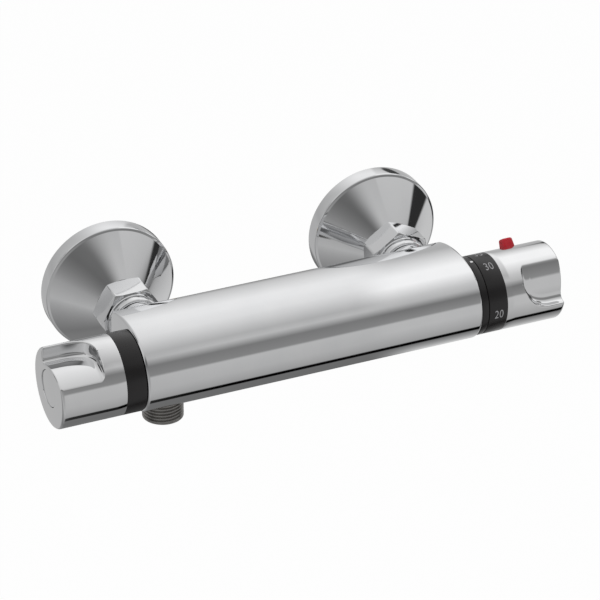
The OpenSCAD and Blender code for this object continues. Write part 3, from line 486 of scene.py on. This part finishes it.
def valve_body():
    mesh = bmesh.new()
    rounds = [(BODY_EDGE * a, BODY_EDGE * b) for a, b in quarter(8)]
    loops = [[(x, y, far - LEFT_END) for x, y in bar_outline(inset)] for far, inset in rounds]
    loops += [[(x, y, RIGHT_END - far) for x, y in bar_outline(inset)] for inset, far in rounds]
    shell = cover(mesh, loops)
    # Necks and the way through the body, from the left neck to the right one
    left, right = -LEFT_END - LEFT_NECK, RIGHT_END + RIGHT_NECK
    inside = rounded([(NECK_R, -LEFT_END, 0), (NECK_R, left, NECK_EDGE), (CHAMBER_R, left, NECK_EDGE),
                      (CHAMBER_R, left + CHAMBER_LEN, 0), (MIXED_R, left + CHAMBER_LEN, 0),
                      (MIXED_R, CARTRIDGE_X, 0), (CARTRIDGE_R, CARTRIDGE_X, 0),
                      (NUT_BORE_R, right - NUT_BORE_LEN, 0), (NUT_BORE_R, right, NECK_EDGE),
                      (NECK_R, right, NECK_EDGE), (NECK_R, RIGHT_END, 0)])
    bores = cover(mesh, [circle(r, z, TURNED_STEPS) for r, z in inside])
    for end in (0, -1):
        flat_face(mesh, shell[end], bores[end])
    # The section's x is to the front and its y is up, and z runs to the right along the bar
    mesh.transform(Matrix(((0, 0, 1, 0), (-1, 0, 0, -BAR_DEPTH), (0, 1, 0, 0), (0, 0, 0, 1))))
    # Bosses on the flat back
    back = BAR_DEPTH - BACK_REACH
    for side in (-1, 1):
        boss = lathe(rounded([(BOSS_R, back + 0.6, 0), (BOSS_R + 0.6, back, 0), (BOSS_R, back - 0.8, 0.6),
                              (BOSS_R, back - BOSS_LEN, 0.5), (BOSS_BORE, back - BOSS_LEN, 0.3),
                              (BOSS_BORE, back + 0.6, 0)]))
        boss.transform(inlet(side))
        data = bpy.data.meshes.new("boss")
        boss.to_mesh(data)
        boss.free()
        mesh.from_mesh(data)
        bpy.data.meshes.remove(data)
    make("valve_body_shell", mesh, Matrix.Identity(4), "valve", "chrome_brass", ("valve_body",))


valve_body()


# Knobs: an outer skin with the grip pocket, an inner skin a wall further in, and the hub

POCKET_START, POCKET_WALL, POCKET_CORNER = 10.0, -8.0, 15.0
FLOOR_R, FLOOR_CROWN_X = 27.0, 5.0
# Height of the floor's crown, hollow along the wall and hollow at the closed end
FLOW_GRIP = (12.75, 3.4, 2.5)
TEMPERATURE_GRIP = (16.0, 5.8, 3.0)
# How far the right knob's pocket is turned from the left one's, in degrees
TEMPERATURE_GRIP_TURN = -104.5
ROUND_STEPS, WALL_STEPS, FLOOR_STEPS, EDGE_STEPS = 150, 36, 52, 6
FINE_STEPS = 240
RIM_ROUND = 0.8


class Pocket:
    """Grip pocket in a knob's own frame: its wall is at -x, it opens at +y and its closed end faces +z."""

    def __init__(self, floor_height, side_hollow, end_hollow, grow=0.0):
        self.corner = POCKET_CORNER + grow
        self.start = POCKET_START - grow
        self.middle_x = POCKET_WALL - grow + self.corner
        self.middle_z = self.start + self.corner
        self.floor_r = FLOOR_R - grow
        self.floor_y = floor_height - FLOOR_R
        self.side_hollow, self.end_hollow = side_hollow + grow, end_hollow

    def wall_x(self, z, inside=0.0):
        """Place of the wall at z, or of a line that runs inside it at an even distance."""
        row = max(self.middle_z - z, 0.0)
        return self.middle_x - math.sqrt(max((self.corner - inside) ** 2 - row ** 2, 0.0))

    def height(self, x, z):
        """Height of the floor, with the hollow that leads up to the wall and the closed end."""
        away_x, away_z = max(self.middle_x - x, 0.0), max(self.middle_z - z, 0.0)
        away = math.hypot(away_x, away_z)
        share = (away_z / away) ** 2 if away > TINY else 1.0
        hollow = self.side_hollow + (self.end_hollow - self.side_hollow) * share
        short = min(max(hollow - (self.corner - away), 0.0), hollow)
        rise = hollow - math.sqrt(hollow ** 2 - short ** 2)
        return self.floor_y + math.sqrt((self.floor_r + rise) ** 2 - (x - FLOOR_CROWN_X) ** 2)

    def wall_path(self, radius, z):
        """Fine points from the knob's round skin down the wall and through the hollow."""
        deep = min(max(self.side_hollow, self.end_hollow), z - self.start)
        spots = [self.wall_x(z, deep * inside) for inside, _ in quarter(FINE_STEPS)]
        path = [Vector((x, self.height(x, z))) for x in spots]
        if path[0].length < radius:
            path.insert(0, Vector((path[0].x, math.sqrt(radius ** 2 - path[0].x ** 2))))
            return path
        inside = next(i for i, point in enumerate(path) if point.length < radius)
        before, after = path[inside - 1], path[inside]
        share = (before.length - radius) / (before.length - after.length)
        return [before.lerp(after, share)] + path[inside:]

    def floor_path(self, radius, z, start_x):
        """Fine points from the hollow along the floor to the round skin at the front."""
        low, high = start_x, radius
        for _ in range(50):
            x = (low + high) / 2
            if math.hypot(x, self.height(x, z)) < radius:
                low = x
            else:
                high = x
        spots = [start_x + (low - start_x) * i / FINE_STEPS for i in range(FINE_STEPS + 1)]
        return [Vector((x, self.height(x, z))) for x in spots]


def path_length(path):
    return sum((b - a).length for a, b in zip(path, path[1:]))


def evenly(path, start, end, steps):
    """Points at even distances along a path, from one distance to another."""
    wanted = [start + (end - start) * i / steps for i in range(steps + 1)]
    points, walked, i = [], 0.0, 0
    for distance in wanted:
        while i < len(path) - 2 and walked + (path[i + 1] - path[i]).length < distance:
            walked += (path[i + 1] - path[i]).length
            i += 1
        span = (path[i + 1] - path[i]).length
        points.append(tuple(path[i].lerp(path[i + 1], (distance - walked) / span if span > TINY else 0.0)))
    return points


def pocket_section(radius, z, pocket, edge):
    """Section of a knob through its pocket: round the back, down the wall and along the floor."""
    wall = pocket.wall_path(radius, z)
    floor = pocket.floor_path(radius, z, wall[-1].x)
    wall_len, floor_len = path_length(wall), path_length(floor)
    edge = min(edge, 0.4 * wall_len)
    top, front = wall[0], floor[-1]
    down = Vector(evenly(wall, 0, edge, 1)[1]) - top
    top_arc = corner_arc(top, (-top.y, top.x), down, edge, EDGE_STEPS)
    inward = Vector(evenly(floor, floor_len - edge, floor_len, 1)[0]) - front
    front_arc = corner_arc(front, inward, (front.y, -front.x), edge * 2, EDGE_STEPS)
    wall_points = evenly(wall, (Vector(top_arc[-1]) - top).length, wall_len, WALL_STEPS)[1:]
    floor_points = evenly(floor, 0, floor_len - (Vector(front_arc[0]) - front).length, FLOOR_STEPS)[1:-1]
    start = math.atan2(front_arc[-1][1], front_arc[-1][0])
    end = math.atan2(top_arc[0][1], top_arc[0][0]) - math.tau
    skin = arc_between((0, 0), radius, start, end, ROUND_STEPS)[1:-1]
    return skin + top_arc + wall_points + floor_points + front_arc


def round_section(radius, like):
    """Plain round section whose points follow the order of a section with a pocket."""
    skin = ROUND_STEPS - 1
    pocket = len(like) - skin
    first = math.atan2(like[0][1], like[0][0])
    last = math.atan2(like[skin - 1][1], like[skin - 1][0]) - math.tau
    step = (math.tau + last - first) / (pocket + 1)
    turns = [math.atan2(y, x) for x, y in like[:skin]] + [last - step * (i + 1) for i in range(pocket)]
    return [(radius * math.cos(turn), radius * math.sin(turn)) for turn in turns]


def knob_skin(radius, length, grip, grow, end_round, edge):
    """Loops of a knob's skin from its ring to its end face. A larger grow moves the pocket inwards."""
    pocket = Pocket(*grip, grow)
    start = pocket.start
    closed = pocket_section(radius, start, pocket, edge)
    loops = []
    lip = 0.25
    for rise, inset in quarter(3):
        loops.append([(x, y, lip * rise) for x, y in round_section(radius - lip * inset, closed)])
    plain = round_section(radius, closed)
    for height in (start / 2, start - edge):
        loops.append([(x, y, height) for x, y in plain])
    # The rim of the closed end is rounded less where the end is shallow
    rounds = []
    for i, (x, y) in enumerate(plain):
        depth = radius - math.hypot(x, pocket.height(x, start)) if i >= ROUND_STEPS - 1 else 0.0
        rounds.append(min(edge, max(0.7 * depth, 0.0)))
    for inset, drop in quarter(3)[1:]:
        shares = [1 - r * inset / radius for r in rounds]
        loops.append([(x * share, y * share, start - r * drop)
                      for (x, y), r, share in zip(plain, rounds, shares)])
    heights = [start + pocket.corner * rise for rise, _ in quarter(30)]
    flat_end = length - end_round
    heights += [pocket.middle_z + (flat_end - pocket.middle_z) * k / 3 for k in range(1, 4)]
    for height in heights:
        loops.append([(x, y, height) for x, y in pocket_section(radius, height, pocket, edge)])
    for inset, short in quarter(10)[1:] if end_round else ():
        height = length - end_round * short
        close = min(max((height - length + edge) / edge, 0), 1)
        ease = edge * (1 - math.sqrt(1 - close ** 2))
        section = pocket_section(radius - end_round * inset, height, Pocket(*grip, grow + ease), edge)
        loops.append([(x, y, height) for x, y in section])
    return loops


def hexagon(flats, height, count, sharpness=90):
    """Six-sided ring of points with slightly rounded corners."""
    points = []
    for i in range(count):
        angle = math.tau * i / count
        sides = [max(math.cos(angle - math.radians(60 * k)), 0) ** sharpness for k in range(6)]
        radius = flats / 2 / sum(sides) ** (1 / sharpness)
        points.append((radius * math.cos(angle), radius * math.sin(angle), height))
    return points


def knob(name, place, grip, body, node):
    mesh = bmesh.new()
    inner_end = KNOB_LEN - KNOB_END_WALL
    outer = knob_skin(KNOB_R, KNOB_LEN, grip, 0, KNOB_EDGE, RIM_ROUND)
    # Inside, the hollow at the closed end is nearly gone
    inner = knob_skin(KNOB_R - KNOB_WALL, inner_end, (*grip[:2], 0.3), KNOB_WALL, 0, 0.2)
    shell = cover(mesh, inner[::-1] + outer)
    top = KNOB_LEN - CAP_RECESS
    well = rounded([(CAP_R + 0.35, KNOB_LEN, 0), (CAP_R + FIT_GAP, KNOB_LEN - 0.2, 0),
                    (CAP_R + FIT_GAP, top, 0), (SCREW_WELL_R, top, 0.2), (SCREW_WELL_R, SCREW_SEAT, 0),
                    (SCREW_HOLE_R, SCREW_SEAT, 0), (SCREW_HOLE_R, SOCKET_END, 0)])
    lathed = [circle(r, z, TURNED_STEPS) for r, z in well]
    lathed += [hexagon(SOCKET_FLATS, z, TURNED_STEPS) for z in (SOCKET_END, SOCKET_START)]
    lathed += [circle(HUB_R, z, TURNED_STEPS) for z in (SOCKET_START, inner_end)]
    hub = cover(mesh, lathed)
    flat_face(mesh, shell[-1], hub[0])
    flat_face(mesh, shell[0], hub[-1])
    make(name, mesh, place, body, "chrome_zinc", (node,), angle=24.0)


def turned_about(place, degrees):
    return place @ Matrix.Rotation(math.radians(degrees), 4, "Z")


knob("flow_knob_shell", left_end(KNOB_X), FLOW_GRIP, "flow_control", "flow_knob")
knob("temperature_knob_shell", turned_about(right_end(KNOB_X), TEMPERATURE_GRIP_TURN), TEMPERATURE_GRIP,
     "temperature_control", "temperature_knob")


def knob_cap(name, place, body, node):
    """Round cap with a slightly domed bare face and a hollow plug that goes into the screw's well."""
    low, high = KNOB_LEN - CAP_RECESS, KNOB_LEN - CAP_RECESS + CAP_T
    dome_r, dome_rise, steps = 0.8 * CAP_R, 0.12, 8
    plug_r, plug_end, hollow_r, hollow_end = SCREW_WELL_R - FIT_GAP, low - 0.8, 2.9, low + 0.5
    dome = [(dome_r * k / steps, high + dome_rise * (1 - (k / steps) ** 2)) for k in range(steps + 1)]
    rim = rounded([(dome_r, high, 0), (CAP_R, high, 0.5), (CAP_R, low, 0.15), (plug_r, low, 0),
                   (plug_r, plug_end, 0.1), (hollow_r, plug_end, 0.1), (hollow_r, hollow_end, 0),
                   (0, hollow_end, 0)])
    make(name, lathe(dome + rim[1:]), place, body, "chrome_zinc", (node,))


knob_cap("flow_cap", left_end(KNOB_X), "flow_control", "flow_knob_cap")
knob_cap("temperature_cap", right_end(KNOB_X), "temperature_control", "temperature_knob_cap")


# Red button, a block with a foot that keeps it inside the knob

def soft_square(width, corner, height, count=8):
    """Ring of points of a square with rounded corners."""
    side = width / 2 - corner
    points = []
    for turn, (x, y) in enumerate(((1, 1), (-1, 1), (-1, -1), (1, -1))):
        start = math.pi / 2 * turn
        points += arc_between((x * side, y * side), corner, start, start + math.pi / 2, count)
    return [(x, y, height) for x, y in points]


def red_button():
    mesh = bmesh.new()
    foot = BUTTON_WIDTH + 2 * BUTTON_FOOT_OVER
    foot_top = BUTTON_FOOT_Z + BUTTON_FOOT_T
    top = KNOB_R + BUTTON_RISE
    taper, edge, bevel = 0.5, 1.0, 0.2
    # Width, corner radius and height of each section from the foot up
    rows = [(foot - 2 * bevel, 0.3, BUTTON_FOOT_Z), (foot, 0.4, BUTTON_FOOT_Z + bevel),
            (foot, 0.4, foot_top - bevel), (foot - 2 * bevel, 0.3, foot_top),
            (BUTTON_WIDTH, BUTTON_CORNER, foot_top), (BUTTON_WIDTH, BUTTON_CORNER, KNOB_R)]
    for inset, drop in quarter(6):
        rows.append((BUTTON_WIDTH - taper - 2 * edge * inset, BUTTON_CORNER + 0.2 - 0.3 * edge * inset,
                     top - edge * drop))
    block = cover(mesh, [soft_square(*row) for row in rows])
    bore = cover(mesh, [circle(BUTTON_BORE_R, z, 36) for z in (BUTTON_FOOT_Z, BUTTON_BORE_TOP)])
    flat_face(mesh, block[-1])
    flat_face(mesh, bore[-1])
    flat_face(mesh, block[0], bore[0])
    place = turned_about(right_end(BUTTON_X), -BUTTON_ANGLE) @ Matrix.Rotation(math.radians(90), 4, "Y")
    make("red_button", mesh, place, "release_button", "red_plastic", ("safety_button",), angle=40.0)


red_button()


# Black rings

def skirt_ring(name, place, length, body, node):
    spigot, spigot_end, inner = KNOB_R - KNOB_WALL - FIT_GAP, length + SPIGOT_LEN, KNOB_R - RING_WALL
    bore = spigot - SPIGOT_WALL
    mesh = lathe(rounded([(KNOB_R, 0, 0.25), (KNOB_R, length, 0.2), (spigot, length, 0),
                          (spigot, spigot_end, 0.3), (bore, spigot_end, 0.2), (bore, length - 1, 0),
                          (inner, length - 1, 0), (inner, 0, 0.2)]), RING_STEPS)
    make(name, mesh, place, body, "black_plastic", (node,))


skirt_ring("flow_ring", left_end(FLOW_RING_X), FLOW_RING_LEN, "flow_control", "flow_skirt_ring")
skirt_ring("dial_ring", right_end(SCALE_RING_X), SCALE_RING_LEN, "temperature_control", "scale_ring")


def pointer_ring():
    bore = NECK_R + FIT_GAP
    mesh = lathe(rounded([(KNOB_R, 0, 0.2), (KNOB_R, MARKER_LEN, 0.3), (bore, MARKER_LEN, 0.2),
                          (bore, 0, 0.2)]), RING_STEPS)
    make("pointer_ring", mesh, right_end(RIGHT_END), "valve", "black_plastic", ("marker_ring",))


pointer_ring()


# Numbers and the pointer's dot, printed on the rings

PRINT_LIFT = 0.05
NUMBERS_X, NUMBER_SIZE, NUMBER_NARROW, NUMBER_TALL = 98.6, 6.1, 0.80, 1.13
# Place of 30 round the dial, and the steps below and above it, in degrees
NUMBER_30_ANGLE, COOL_STEP, WARM_STEP = 71.7, 7.47, 6.9
POINTER_X, POINTER_ANGLE, POINTER_R = 91.7, 88.0, 0.82


def wrap(mesh, x, angle, radius):
    """Bends a flat print round the bar: its x runs along the bar and its y up the ring."""
    for vertex in mesh.verts:
        turn = math.radians(angle) + vertex.co.y / radius
        out = radius + vertex.co.z
        vertex.co = (x + vertex.co.x, -BAR_DEPTH - out * math.cos(turn), out * math.sin(turn))


def sliced(mesh, step):
    """Cuts a flat print across at even heights, so that it bends smoothly."""
    heights = [v.co.y for v in mesh.verts]
    low, high = min(heights), max(heights)
    count = max(int((high - low) / step), 1)
    for i in range(1, count):
        bmesh.ops.bisect_plane(mesh, geom=mesh.verts[:] + mesh.edges[:] + mesh.faces[:], dist=1e-6,
                               plane_co=(0, low + (high - low) * i / count, 0), plane_no=(0, 1, 0))


def printed_number(text, angle):
    curve = bpy.data.curves.new("number", "FONT")
    curve.body = text
    curve.size = NUMBER_SIZE
    curve.align_x = "CENTER"
    curve.align_y = "CENTER"
    curve.space_character = 1.08
    curve.extrude = 0.04
    curve.offset = -0.04
    curve.resolution_u = 6
    mesh = shaped(add_object("number", curve))
    bmesh.ops.remove_doubles(mesh, verts=mesh.verts, dist=1e-4)
    middle = sum((v.co.y for v in mesh.verts), 0.0) / len(mesh.verts)
    for vertex in mesh.verts:
        vertex.co.x *= NUMBER_NARROW
        vertex.co.y = (vertex.co.y - middle) * NUMBER_TALL
    sliced(mesh, 0.5)
    wrap(mesh, NUMBERS_X, angle, KNOB_R + 0.02)
    make("number_" + text, mesh, Matrix.Identity(4), "temperature_control", "white_plastic", angle=40.0,
         material=dial_print)


for value in (20, 30, 35, 40, 45):
    step = COOL_STEP if value < 30 else WARM_STEP
    printed_number(str(value), NUMBER_30_ANGLE + step * (value - 30))


def pointer_dot():
    mesh = lathe([(0, -0.1), (POINTER_R, -0.1), (POINTER_R, PRINT_LIFT), (POINTER_R / 2, PRINT_LIFT + 0.01),
                  (0, PRINT_LIFT + 0.01)], 32)
    wrap(mesh, POINTER_X, POINTER_ANGLE, KNOB_R)
    make("pointer_dot", mesh, Matrix.Identity(4), "valve", "white_plastic", material=pointer_print)


pointer_dot()


# Wall flanges and union nuts

def flange(name, side, node):
    inner, nose_back = FLANGE_R - FLANGE_SHEET, FLANGE_LEN - FLANGE_SHEET
    mesh = lathe(rounded([(FLANGE_R, 0, 0.3), (FLANGE_R, FLANGE_RIM + 0.3, 0.9),
                          (FLANGE_R - 1.4, FLANGE_RIM + 1, 0.5), (FLANGE_NOSE, FLANGE_LEN, 0.5),
                          (FLANGE_BORE, FLANGE_LEN, 0.3), (FLANGE_BORE, nose_back, 0.3),
                          (FLANGE_NOSE - 0.6, nose_back, 0.3), (inner - 1.2, FLANGE_RIM + 0.6, 0.5),
                          (inner, FLANGE_RIM - 0.2, 0.5), (inner, 0, 0.3)]), RING_STEPS)
    make(name, mesh, inlet(side), "valve", "chrome_brass", (node,))


flange("flange_left", -1, "wall_flange_left")
flange("flange_right", 1, "wall_flange_right")


def union_nut(name, side, clocking, node):
    """Nut whose corners are turned off at both ends, with a round collar towards the bar."""
    mesh = bmesh.new()
    count, softness = 288, 220
    face_r, slope = NUT_FLATS * 0.52, math.tan(math.radians(30))
    rises = [0, 0.15, 0.3, 0.45, 0.6, 0.8, 1.0, 1.2, 1.5, 1.9, 2.5]
    loops = []
    for height in rises + [NUT_HEX / 2] + [NUT_HEX - r for r in reversed(rises)]:
        cone = face_r + min(height, NUT_HEX - height) / slope
        loop = []
        for x, y, _ in hexagon(NUT_FLATS, 0, count):
            flat = math.hypot(x, y)
            radius = (flat ** -softness + cone ** -softness) ** (-1 / softness)
            loop.append((x / flat * radius, y / flat * radius, NUT_START + height))
        loops.append(loop)
    end, hole_r, thread_r = NUT_START + NUT_HEX, HALF_INCH_R + 0.2, THREE_QUARTER_R + FIT_GAP
    collar = rounded([(NUT_COLLAR_R + 0.3, end, 0), (NUT_COLLAR_R, end + 0.5, 0.3),
                      (NUT_COLLAR_R, end + NUT_COLLAR, 1.2), (hole_r, end + NUT_COLLAR, 0.4),
                      (hole_r, end - 1, 0), (thread_r, end - 1, 0), (thread_r, NUT_START, 0.4)])
    loops += [circle(r, z, count) for r, z in collar]
    cover(mesh, loops, closed=True)
    make(name, mesh, turned_about(inlet(side), clocking - 60), "valve", "chrome_brass", (node,), angle=35.0)


union_nut("nut_left", -1, 32, "union_nut_left")
union_nut("nut_right", 1, 5.5, "union_nut_right")


# Outlet nipple, with its pipe thread, chamfer and bore

def outlet():
    chamfer, thread_end, shoulder, stem_r, stem_end = 0.9, 13.6, 16.8, 9.5, 21.0
    mouth = rounded([(OUTLET_BORE, 0.5, 0.2), (OUTLET_BORE + 0.5, 0, 0.1), (HALF_INCH_R - chamfer, 0, 0.15)])
    outline = mouth + thread_wall(HALF_INCH_R, chamfer, thread_end)
    outline += [(HALF_INCH_R, shoulder), (stem_r, shoulder), (stem_r, stem_end), (OUTLET_BORE, stem_end)]
    mesh = lathe(outline, 160)
    bmesh.ops.recalc_face_normals(mesh, faces=mesh.faces)
    mesh = through_tree(mesh, thread_tree(), {"Crest Radius": HALF_INCH_R, "Start": chamfer,
                                              "End": thread_end, "Finish": FINISHES["bare_steel"]})
    make("outlet_thread", mesh, Matrix.Translation((-INLET_X, OUTLET_Y, -OUTLET_DROP)), "valve", "bare_steel",
         ("outlet_nipple",), angle=45.0)


outlet()


# CAD pieces that are kept get the finish of their slot

KEPT = {
    "brass": ("eccentric_union_left", "eccentric_union_right", "inlet_tail_left", "inlet_tail_right",
              "flow_headpart", "flow_spindle", "cartridge_housing", "cartridge_nut", "adjuster",
              "temperature_spindle"),
    "copper": ("wax_element",),
    "spring_steel": ("check_valve_spring_left", "check_valve_spring_right", "return_spring",
                     "overtravel_spring", "thrust_cup", "safety_button_spring", "flow_knob_screw",
                     "temperature_knob_screw"),
    "white_plastic": ("check_valve_body_left", "check_valve_body_right", "check_valve_poppet_left",
                      "check_valve_poppet_right", "shuttle", "stop_ring", "flow_knob_adapter",
                      "temperature_knob_adapter"),
    "rubber": ("filter_washer_left", "filter_washer_right", "flow_seat_seal", "flow_spindle_seals",
               "cartridge_seals", "temperature_spindle_seal"),
    "ceramic": ("flow_fixed_disc", "flow_moving_disc"),
}
for slot, names in KEPT.items():
    for name in names:
        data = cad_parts[name].data
        data.materials.clear()
        data.materials.append(FINISHES[slot])


# Studio: a pale floor, a white surround, soft lamps, and a tent of greys that only gloss sees

FLOOR_Z, FLOOR_REACH, FLOOR_GLOW = -0.9, 4.0, 0.97
# How much the surround lights the pieces, and how bright it looks
SURROUND_LIGHT, SURROUND_SEEN = 0.55, 1.0
AXIS = Vector((0, -BAR_DEPTH * MM, 0))
LAMP_AIM = Vector((0, -0.08, 0))
WHITE = (1, 1, 1, 1)


def background_ray(nodes, links):
    """1 for the rays that show the background: straight from the camera, off gloss or through glass."""
    path = nodes.new("ShaderNodeLightPath")
    ray = path.outputs["Is Camera Ray"]
    for kind in ("Is Glossy Ray", "Is Transmission Ray"):
        either = add_node(nodes, "ShaderNodeMath", operation="MAXIMUM")
        links.new(ray, either.inputs[0])
        links.new(path.outputs[kind], either.inputs[1])
        ray = either.outputs[0]
    return ray


def mix_shaders(nodes, links, share, plain, seen):
    mix = nodes.new("ShaderNodeMixShader")
    links.new(share, mix.inputs["Fac"])
    links.new(plain.outputs[0], mix.inputs[1])
    links.new(seen.outputs[0], mix.inputs[2])
    return mix.outputs[0]


def studio_world():
    world = bpy.data.worlds.new("studio")
    scene.world = world
    world.use_nodes = True
    nodes, links = world.node_tree.nodes, world.node_tree.links
    nodes.clear()
    soft, bright = (add_node(nodes, "ShaderNodeBackground", {"Color": WHITE, "Strength": level})
                    for level in (SURROUND_LIGHT, SURROUND_SEEN))
    surround = mix_shaders(nodes, links, background_ray(nodes, links), soft, bright)
    links.new(surround, nodes.new("ShaderNodeOutputWorld").inputs["Surface"])


def floor_finish():
    material, nodes, links = new_material("pale_floor")
    shader = nodes["Principled BSDF"]
    fill(shader, {"Base Color": (0.93, 0.93, 0.93, 1), "Roughness": 0.9})
    glow = add_node(nodes, "ShaderNodeEmission", {"Color": WHITE, "Strength": 1.0})
    share = add_node(nodes, "ShaderNodeMath", {1: FLOOR_GLOW}, operation="MULTIPLY")
    links.new(background_ray(nodes, links), share.inputs[0])
    surface = mix_shaders(nodes, links, share.outputs[0], shader, glow)
    links.new(surface, nodes["Material Output"].inputs["Surface"])
    return material


def plain_stage(name, corners, faces, material):
    data = bpy.data.meshes.new(name)
    data.from_pydata(corners, [], faces)
    data.materials.append(material)
    stage = add_object(name, data)
    return stage


TENT_R, TENT_HALF = 0.85, 1.5
# A ramp holds values up to 1, so the cards' levels are divided by this and multiplied by it afterwards
TENT_TOP_LEVEL = 1.2
# Three strips of card make the tent's left, middle and right. Each is a list of (angle, level) round the
# bar: 0 is ahead, 90 is up and -90 is down. In the middle and at the right a black gap parts the dim floor
# from the front card, a dim card hangs over that, and the top is bright
LEFT_CARD = ((-180, 0.45), (-160, 0.57), (-95, 0.20), (-50, 0.50), (0, 0.38), (44, 0.15), (53, 0.17),
             (68, 0.55), (105, 0.74), (150, 0.55), (180, 0.45))
MIDDLE_CARD = ((-180, 0.62), (-165, 0.15), (-81, 0.18), (-79.5, 0.0), (-69, 0.0), (-66.5, 0.39), (-33, 0.52),
               (3, 0.57), (8, 0.28), (33, 0.23), (52, 0.59), (67, 0.52), (97, 0.75), (137, 1.0), (147, 1.0),
               (180, 0.62))
RIGHT_CARD = ((-180, 0.50), (-125, 0.65), (-81, 0.20), (-79.5, 0.0), (-69, 0.0), (-66.5, 0.40), (-20, 0.58),
              (3, 0.58), (8, 0.30), (33, 0.21), (50, 0.55), (67, 0.68), (105, 1.12), (130, 1.12), (168, 0.50),
              (180, 0.50))
# Where along the bar the left card gives way to the middle one, and that to the right one
CARD_BLENDS = ((-0.35, 0.20), (0.37, 0.43))
# Softly edged patches on the tent: seen from, towards, radius, softness and level
TENT_PATCHES = (
    ((-0.12, -0.087, 0.0), (-0.35, 0.79, -0.51), 0.30, 0.15, 0.50),
    ((-0.12, -0.087, 0.0), (-0.68, 0.57, 0.43), 0.18, 0.12, 0.03),
    ((0.0, 0.0, 0.0), (0.65, 0.735, 0.22), 0.10, 0.05, 0.06),
    ((0.125, -0.10, 0.0), (0.95, -0.12, -0.27), 0.12, 0.12, 0.02),
    ((0.125, -0.10, 0.0), (0.80, 0.08, 0.55), 0.20, 0.12, 0.02),
    ((0.0, -0.087, 0.0), (1.0, 0.01, 0.03), 0.26, 0.12, 0.03),
)


def on_tent(start, way):
    """Where a line from start meets the tent."""
    start, way = Vector(start) - AXIS, Vector(way).normalized()
    flat, across = way.y ** 2 + way.z ** 2, start.y * way.y + start.z * way.z
    away = start.y ** 2 + start.z ** 2 - TENT_R ** 2
    to_wall = (-across + math.sqrt(across ** 2 - flat * away)) / flat
    to_end = (math.copysign(TENT_HALF, way.x) - start.x) / way.x if abs(way.x) > TINY else to_wall
    return AXIS + start + way * min(to_wall, to_end)


def first_axis(nodes, links, value):
    parts = nodes.new("ShaderNodeSeparateXYZ")
    links.new(value, parts.inputs[0])
    return parts.outputs["X"]


def give_way(nodes, links, value, by, start, end):
    """Mix of value and what goes into its input B, which takes over as by goes from start to end."""
    share = add_node(nodes, "ShaderNodeMapRange", {"From Min": start, "From Max": end},
                     interpolation_type="SMOOTHSTEP")
    links.new(by, share.inputs["Value"])
    mix = nodes.new("ShaderNodeMix")
    links.new(share.outputs["Result"], mix.inputs["Factor"])
    links.new(value, mix.inputs["A"])
    return mix


def tent_finish():
    material, nodes, links = new_material("tent")
    nodes.clear()
    turn = first_axis(nodes, links, nodes.new("ShaderNodeUVMap").outputs["UV"])
    cards = []
    for card in (LEFT_CARD, MIDDLE_CARD, RIGHT_CARD):
        stops = [((angle + 180) / 360, [level / TENT_TOP_LEVEL] * 3) for angle, level in card]
        cards.append(colours(nodes, links, turn, stops))
    place = nodes.new("ShaderNodeTexCoord").outputs["Object"]
    along = first_axis(nodes, links, place)
    value = cards[0]
    for card, (start, end) in zip(cards[1:], CARD_BLENDS):
        mix = give_way(nodes, links, value, along, start, end)
        links.new(card, mix.inputs["B"])
        value = mix.outputs["Result"]
    level = add_node(nodes, "ShaderNodeMath", {1: TENT_TOP_LEVEL}, operation="MULTIPLY")
    links.new(value, level.inputs[0])
    value = level.outputs[0]
    for start, way, radius, softness, wanted in TENT_PATCHES:
        gap = add_node(nodes, "ShaderNodeVectorMath", {1: on_tent(start, way)}, operation="DISTANCE")
        links.new(place, gap.inputs[0])
        mix = give_way(nodes, links, value, gap.outputs["Value"], radius + softness, radius)
        mix.inputs["B"].default_value = wanted
        value = mix.outputs["Result"]
    glow = nodes.new("ShaderNodeEmission")
    links.new(value, glow.inputs["Strength"])
    links.new(glow.outputs[0], nodes.new("ShaderNodeOutputMaterial").inputs["Surface"])
    return material


def tent():
    """Closed drum round the bar, whose map holds the angle round the bar."""
    steps = 180
    corners = [(side * TENT_HALF, AXIS.y, AXIS.z) for side in (-1, 1)]
    for i in range(steps):
        angle = math.tau * i / steps - math.pi
        for side in (-1, 1):
            corners.append((side * TENT_HALF, AXIS.y - TENT_R * math.cos(angle),
                            AXIS.z + TENT_R * math.sin(angle)))
    faces, turns = [], []
    for i in range(steps):
        left, right = 2 + 2 * i, 3 + 2 * i
        next_left, next_right = 2 + 2 * ((i + 1) % steps), 3 + 2 * ((i + 1) % steps)
        here, middle, there = i / steps, (i + 0.5) / steps, (i + 1) / steps
        faces += [(left, right, next_right, next_left), (0, left, next_left), (1, next_right, right)]
        turns += [here, here, there, there, middle, here, there, middle, there, here]
    stage = plain_stage("tent", corners, faces, tent_finish())
    uv = stage.data.uv_layers.new(name="turn")
    for corner, value in zip(uv.data, turns):
        corner.uv = (value, 0)
    for ray in ("camera", "diffuse", "transmission", "volume_scatter", "shadow"):
        setattr(stage, "visible_" + ray, False)


def lamp(name, place, width, height, level):
    data = bpy.data.lights.new(name, "AREA")
    data.shape = "RECTANGLE"
    data.size, data.size_y = width, height
    data.energy = level * math.pi * width * height
    light = add_object(name, data)
    light.location = place
    light.rotation_euler = (LAMP_AIM - Vector(place)).to_track_quat("-Z", "Y").to_euler()
    light.visible_glossy = False


studio_world()
floor_corners = [(x * FLOOR_REACH, y * FLOOR_REACH, FLOOR_Z) for x, y in ((-1, -1), (1, -1), (1, 1), (-1, 1))]
plain_stage("floor", floor_corners, [(0, 1, 2, 3)], floor_finish())
tent()
lamp("lamp_behind", (0.1, 1.0, 1.5), width=1.6, height=1.0, level=1.3)
lamp("lamp_ahead", (-0.9, -1.5, 1.5), width=1.0, height=1.0, level=1.2)

scene.view_settings.view_transform = "Standard"
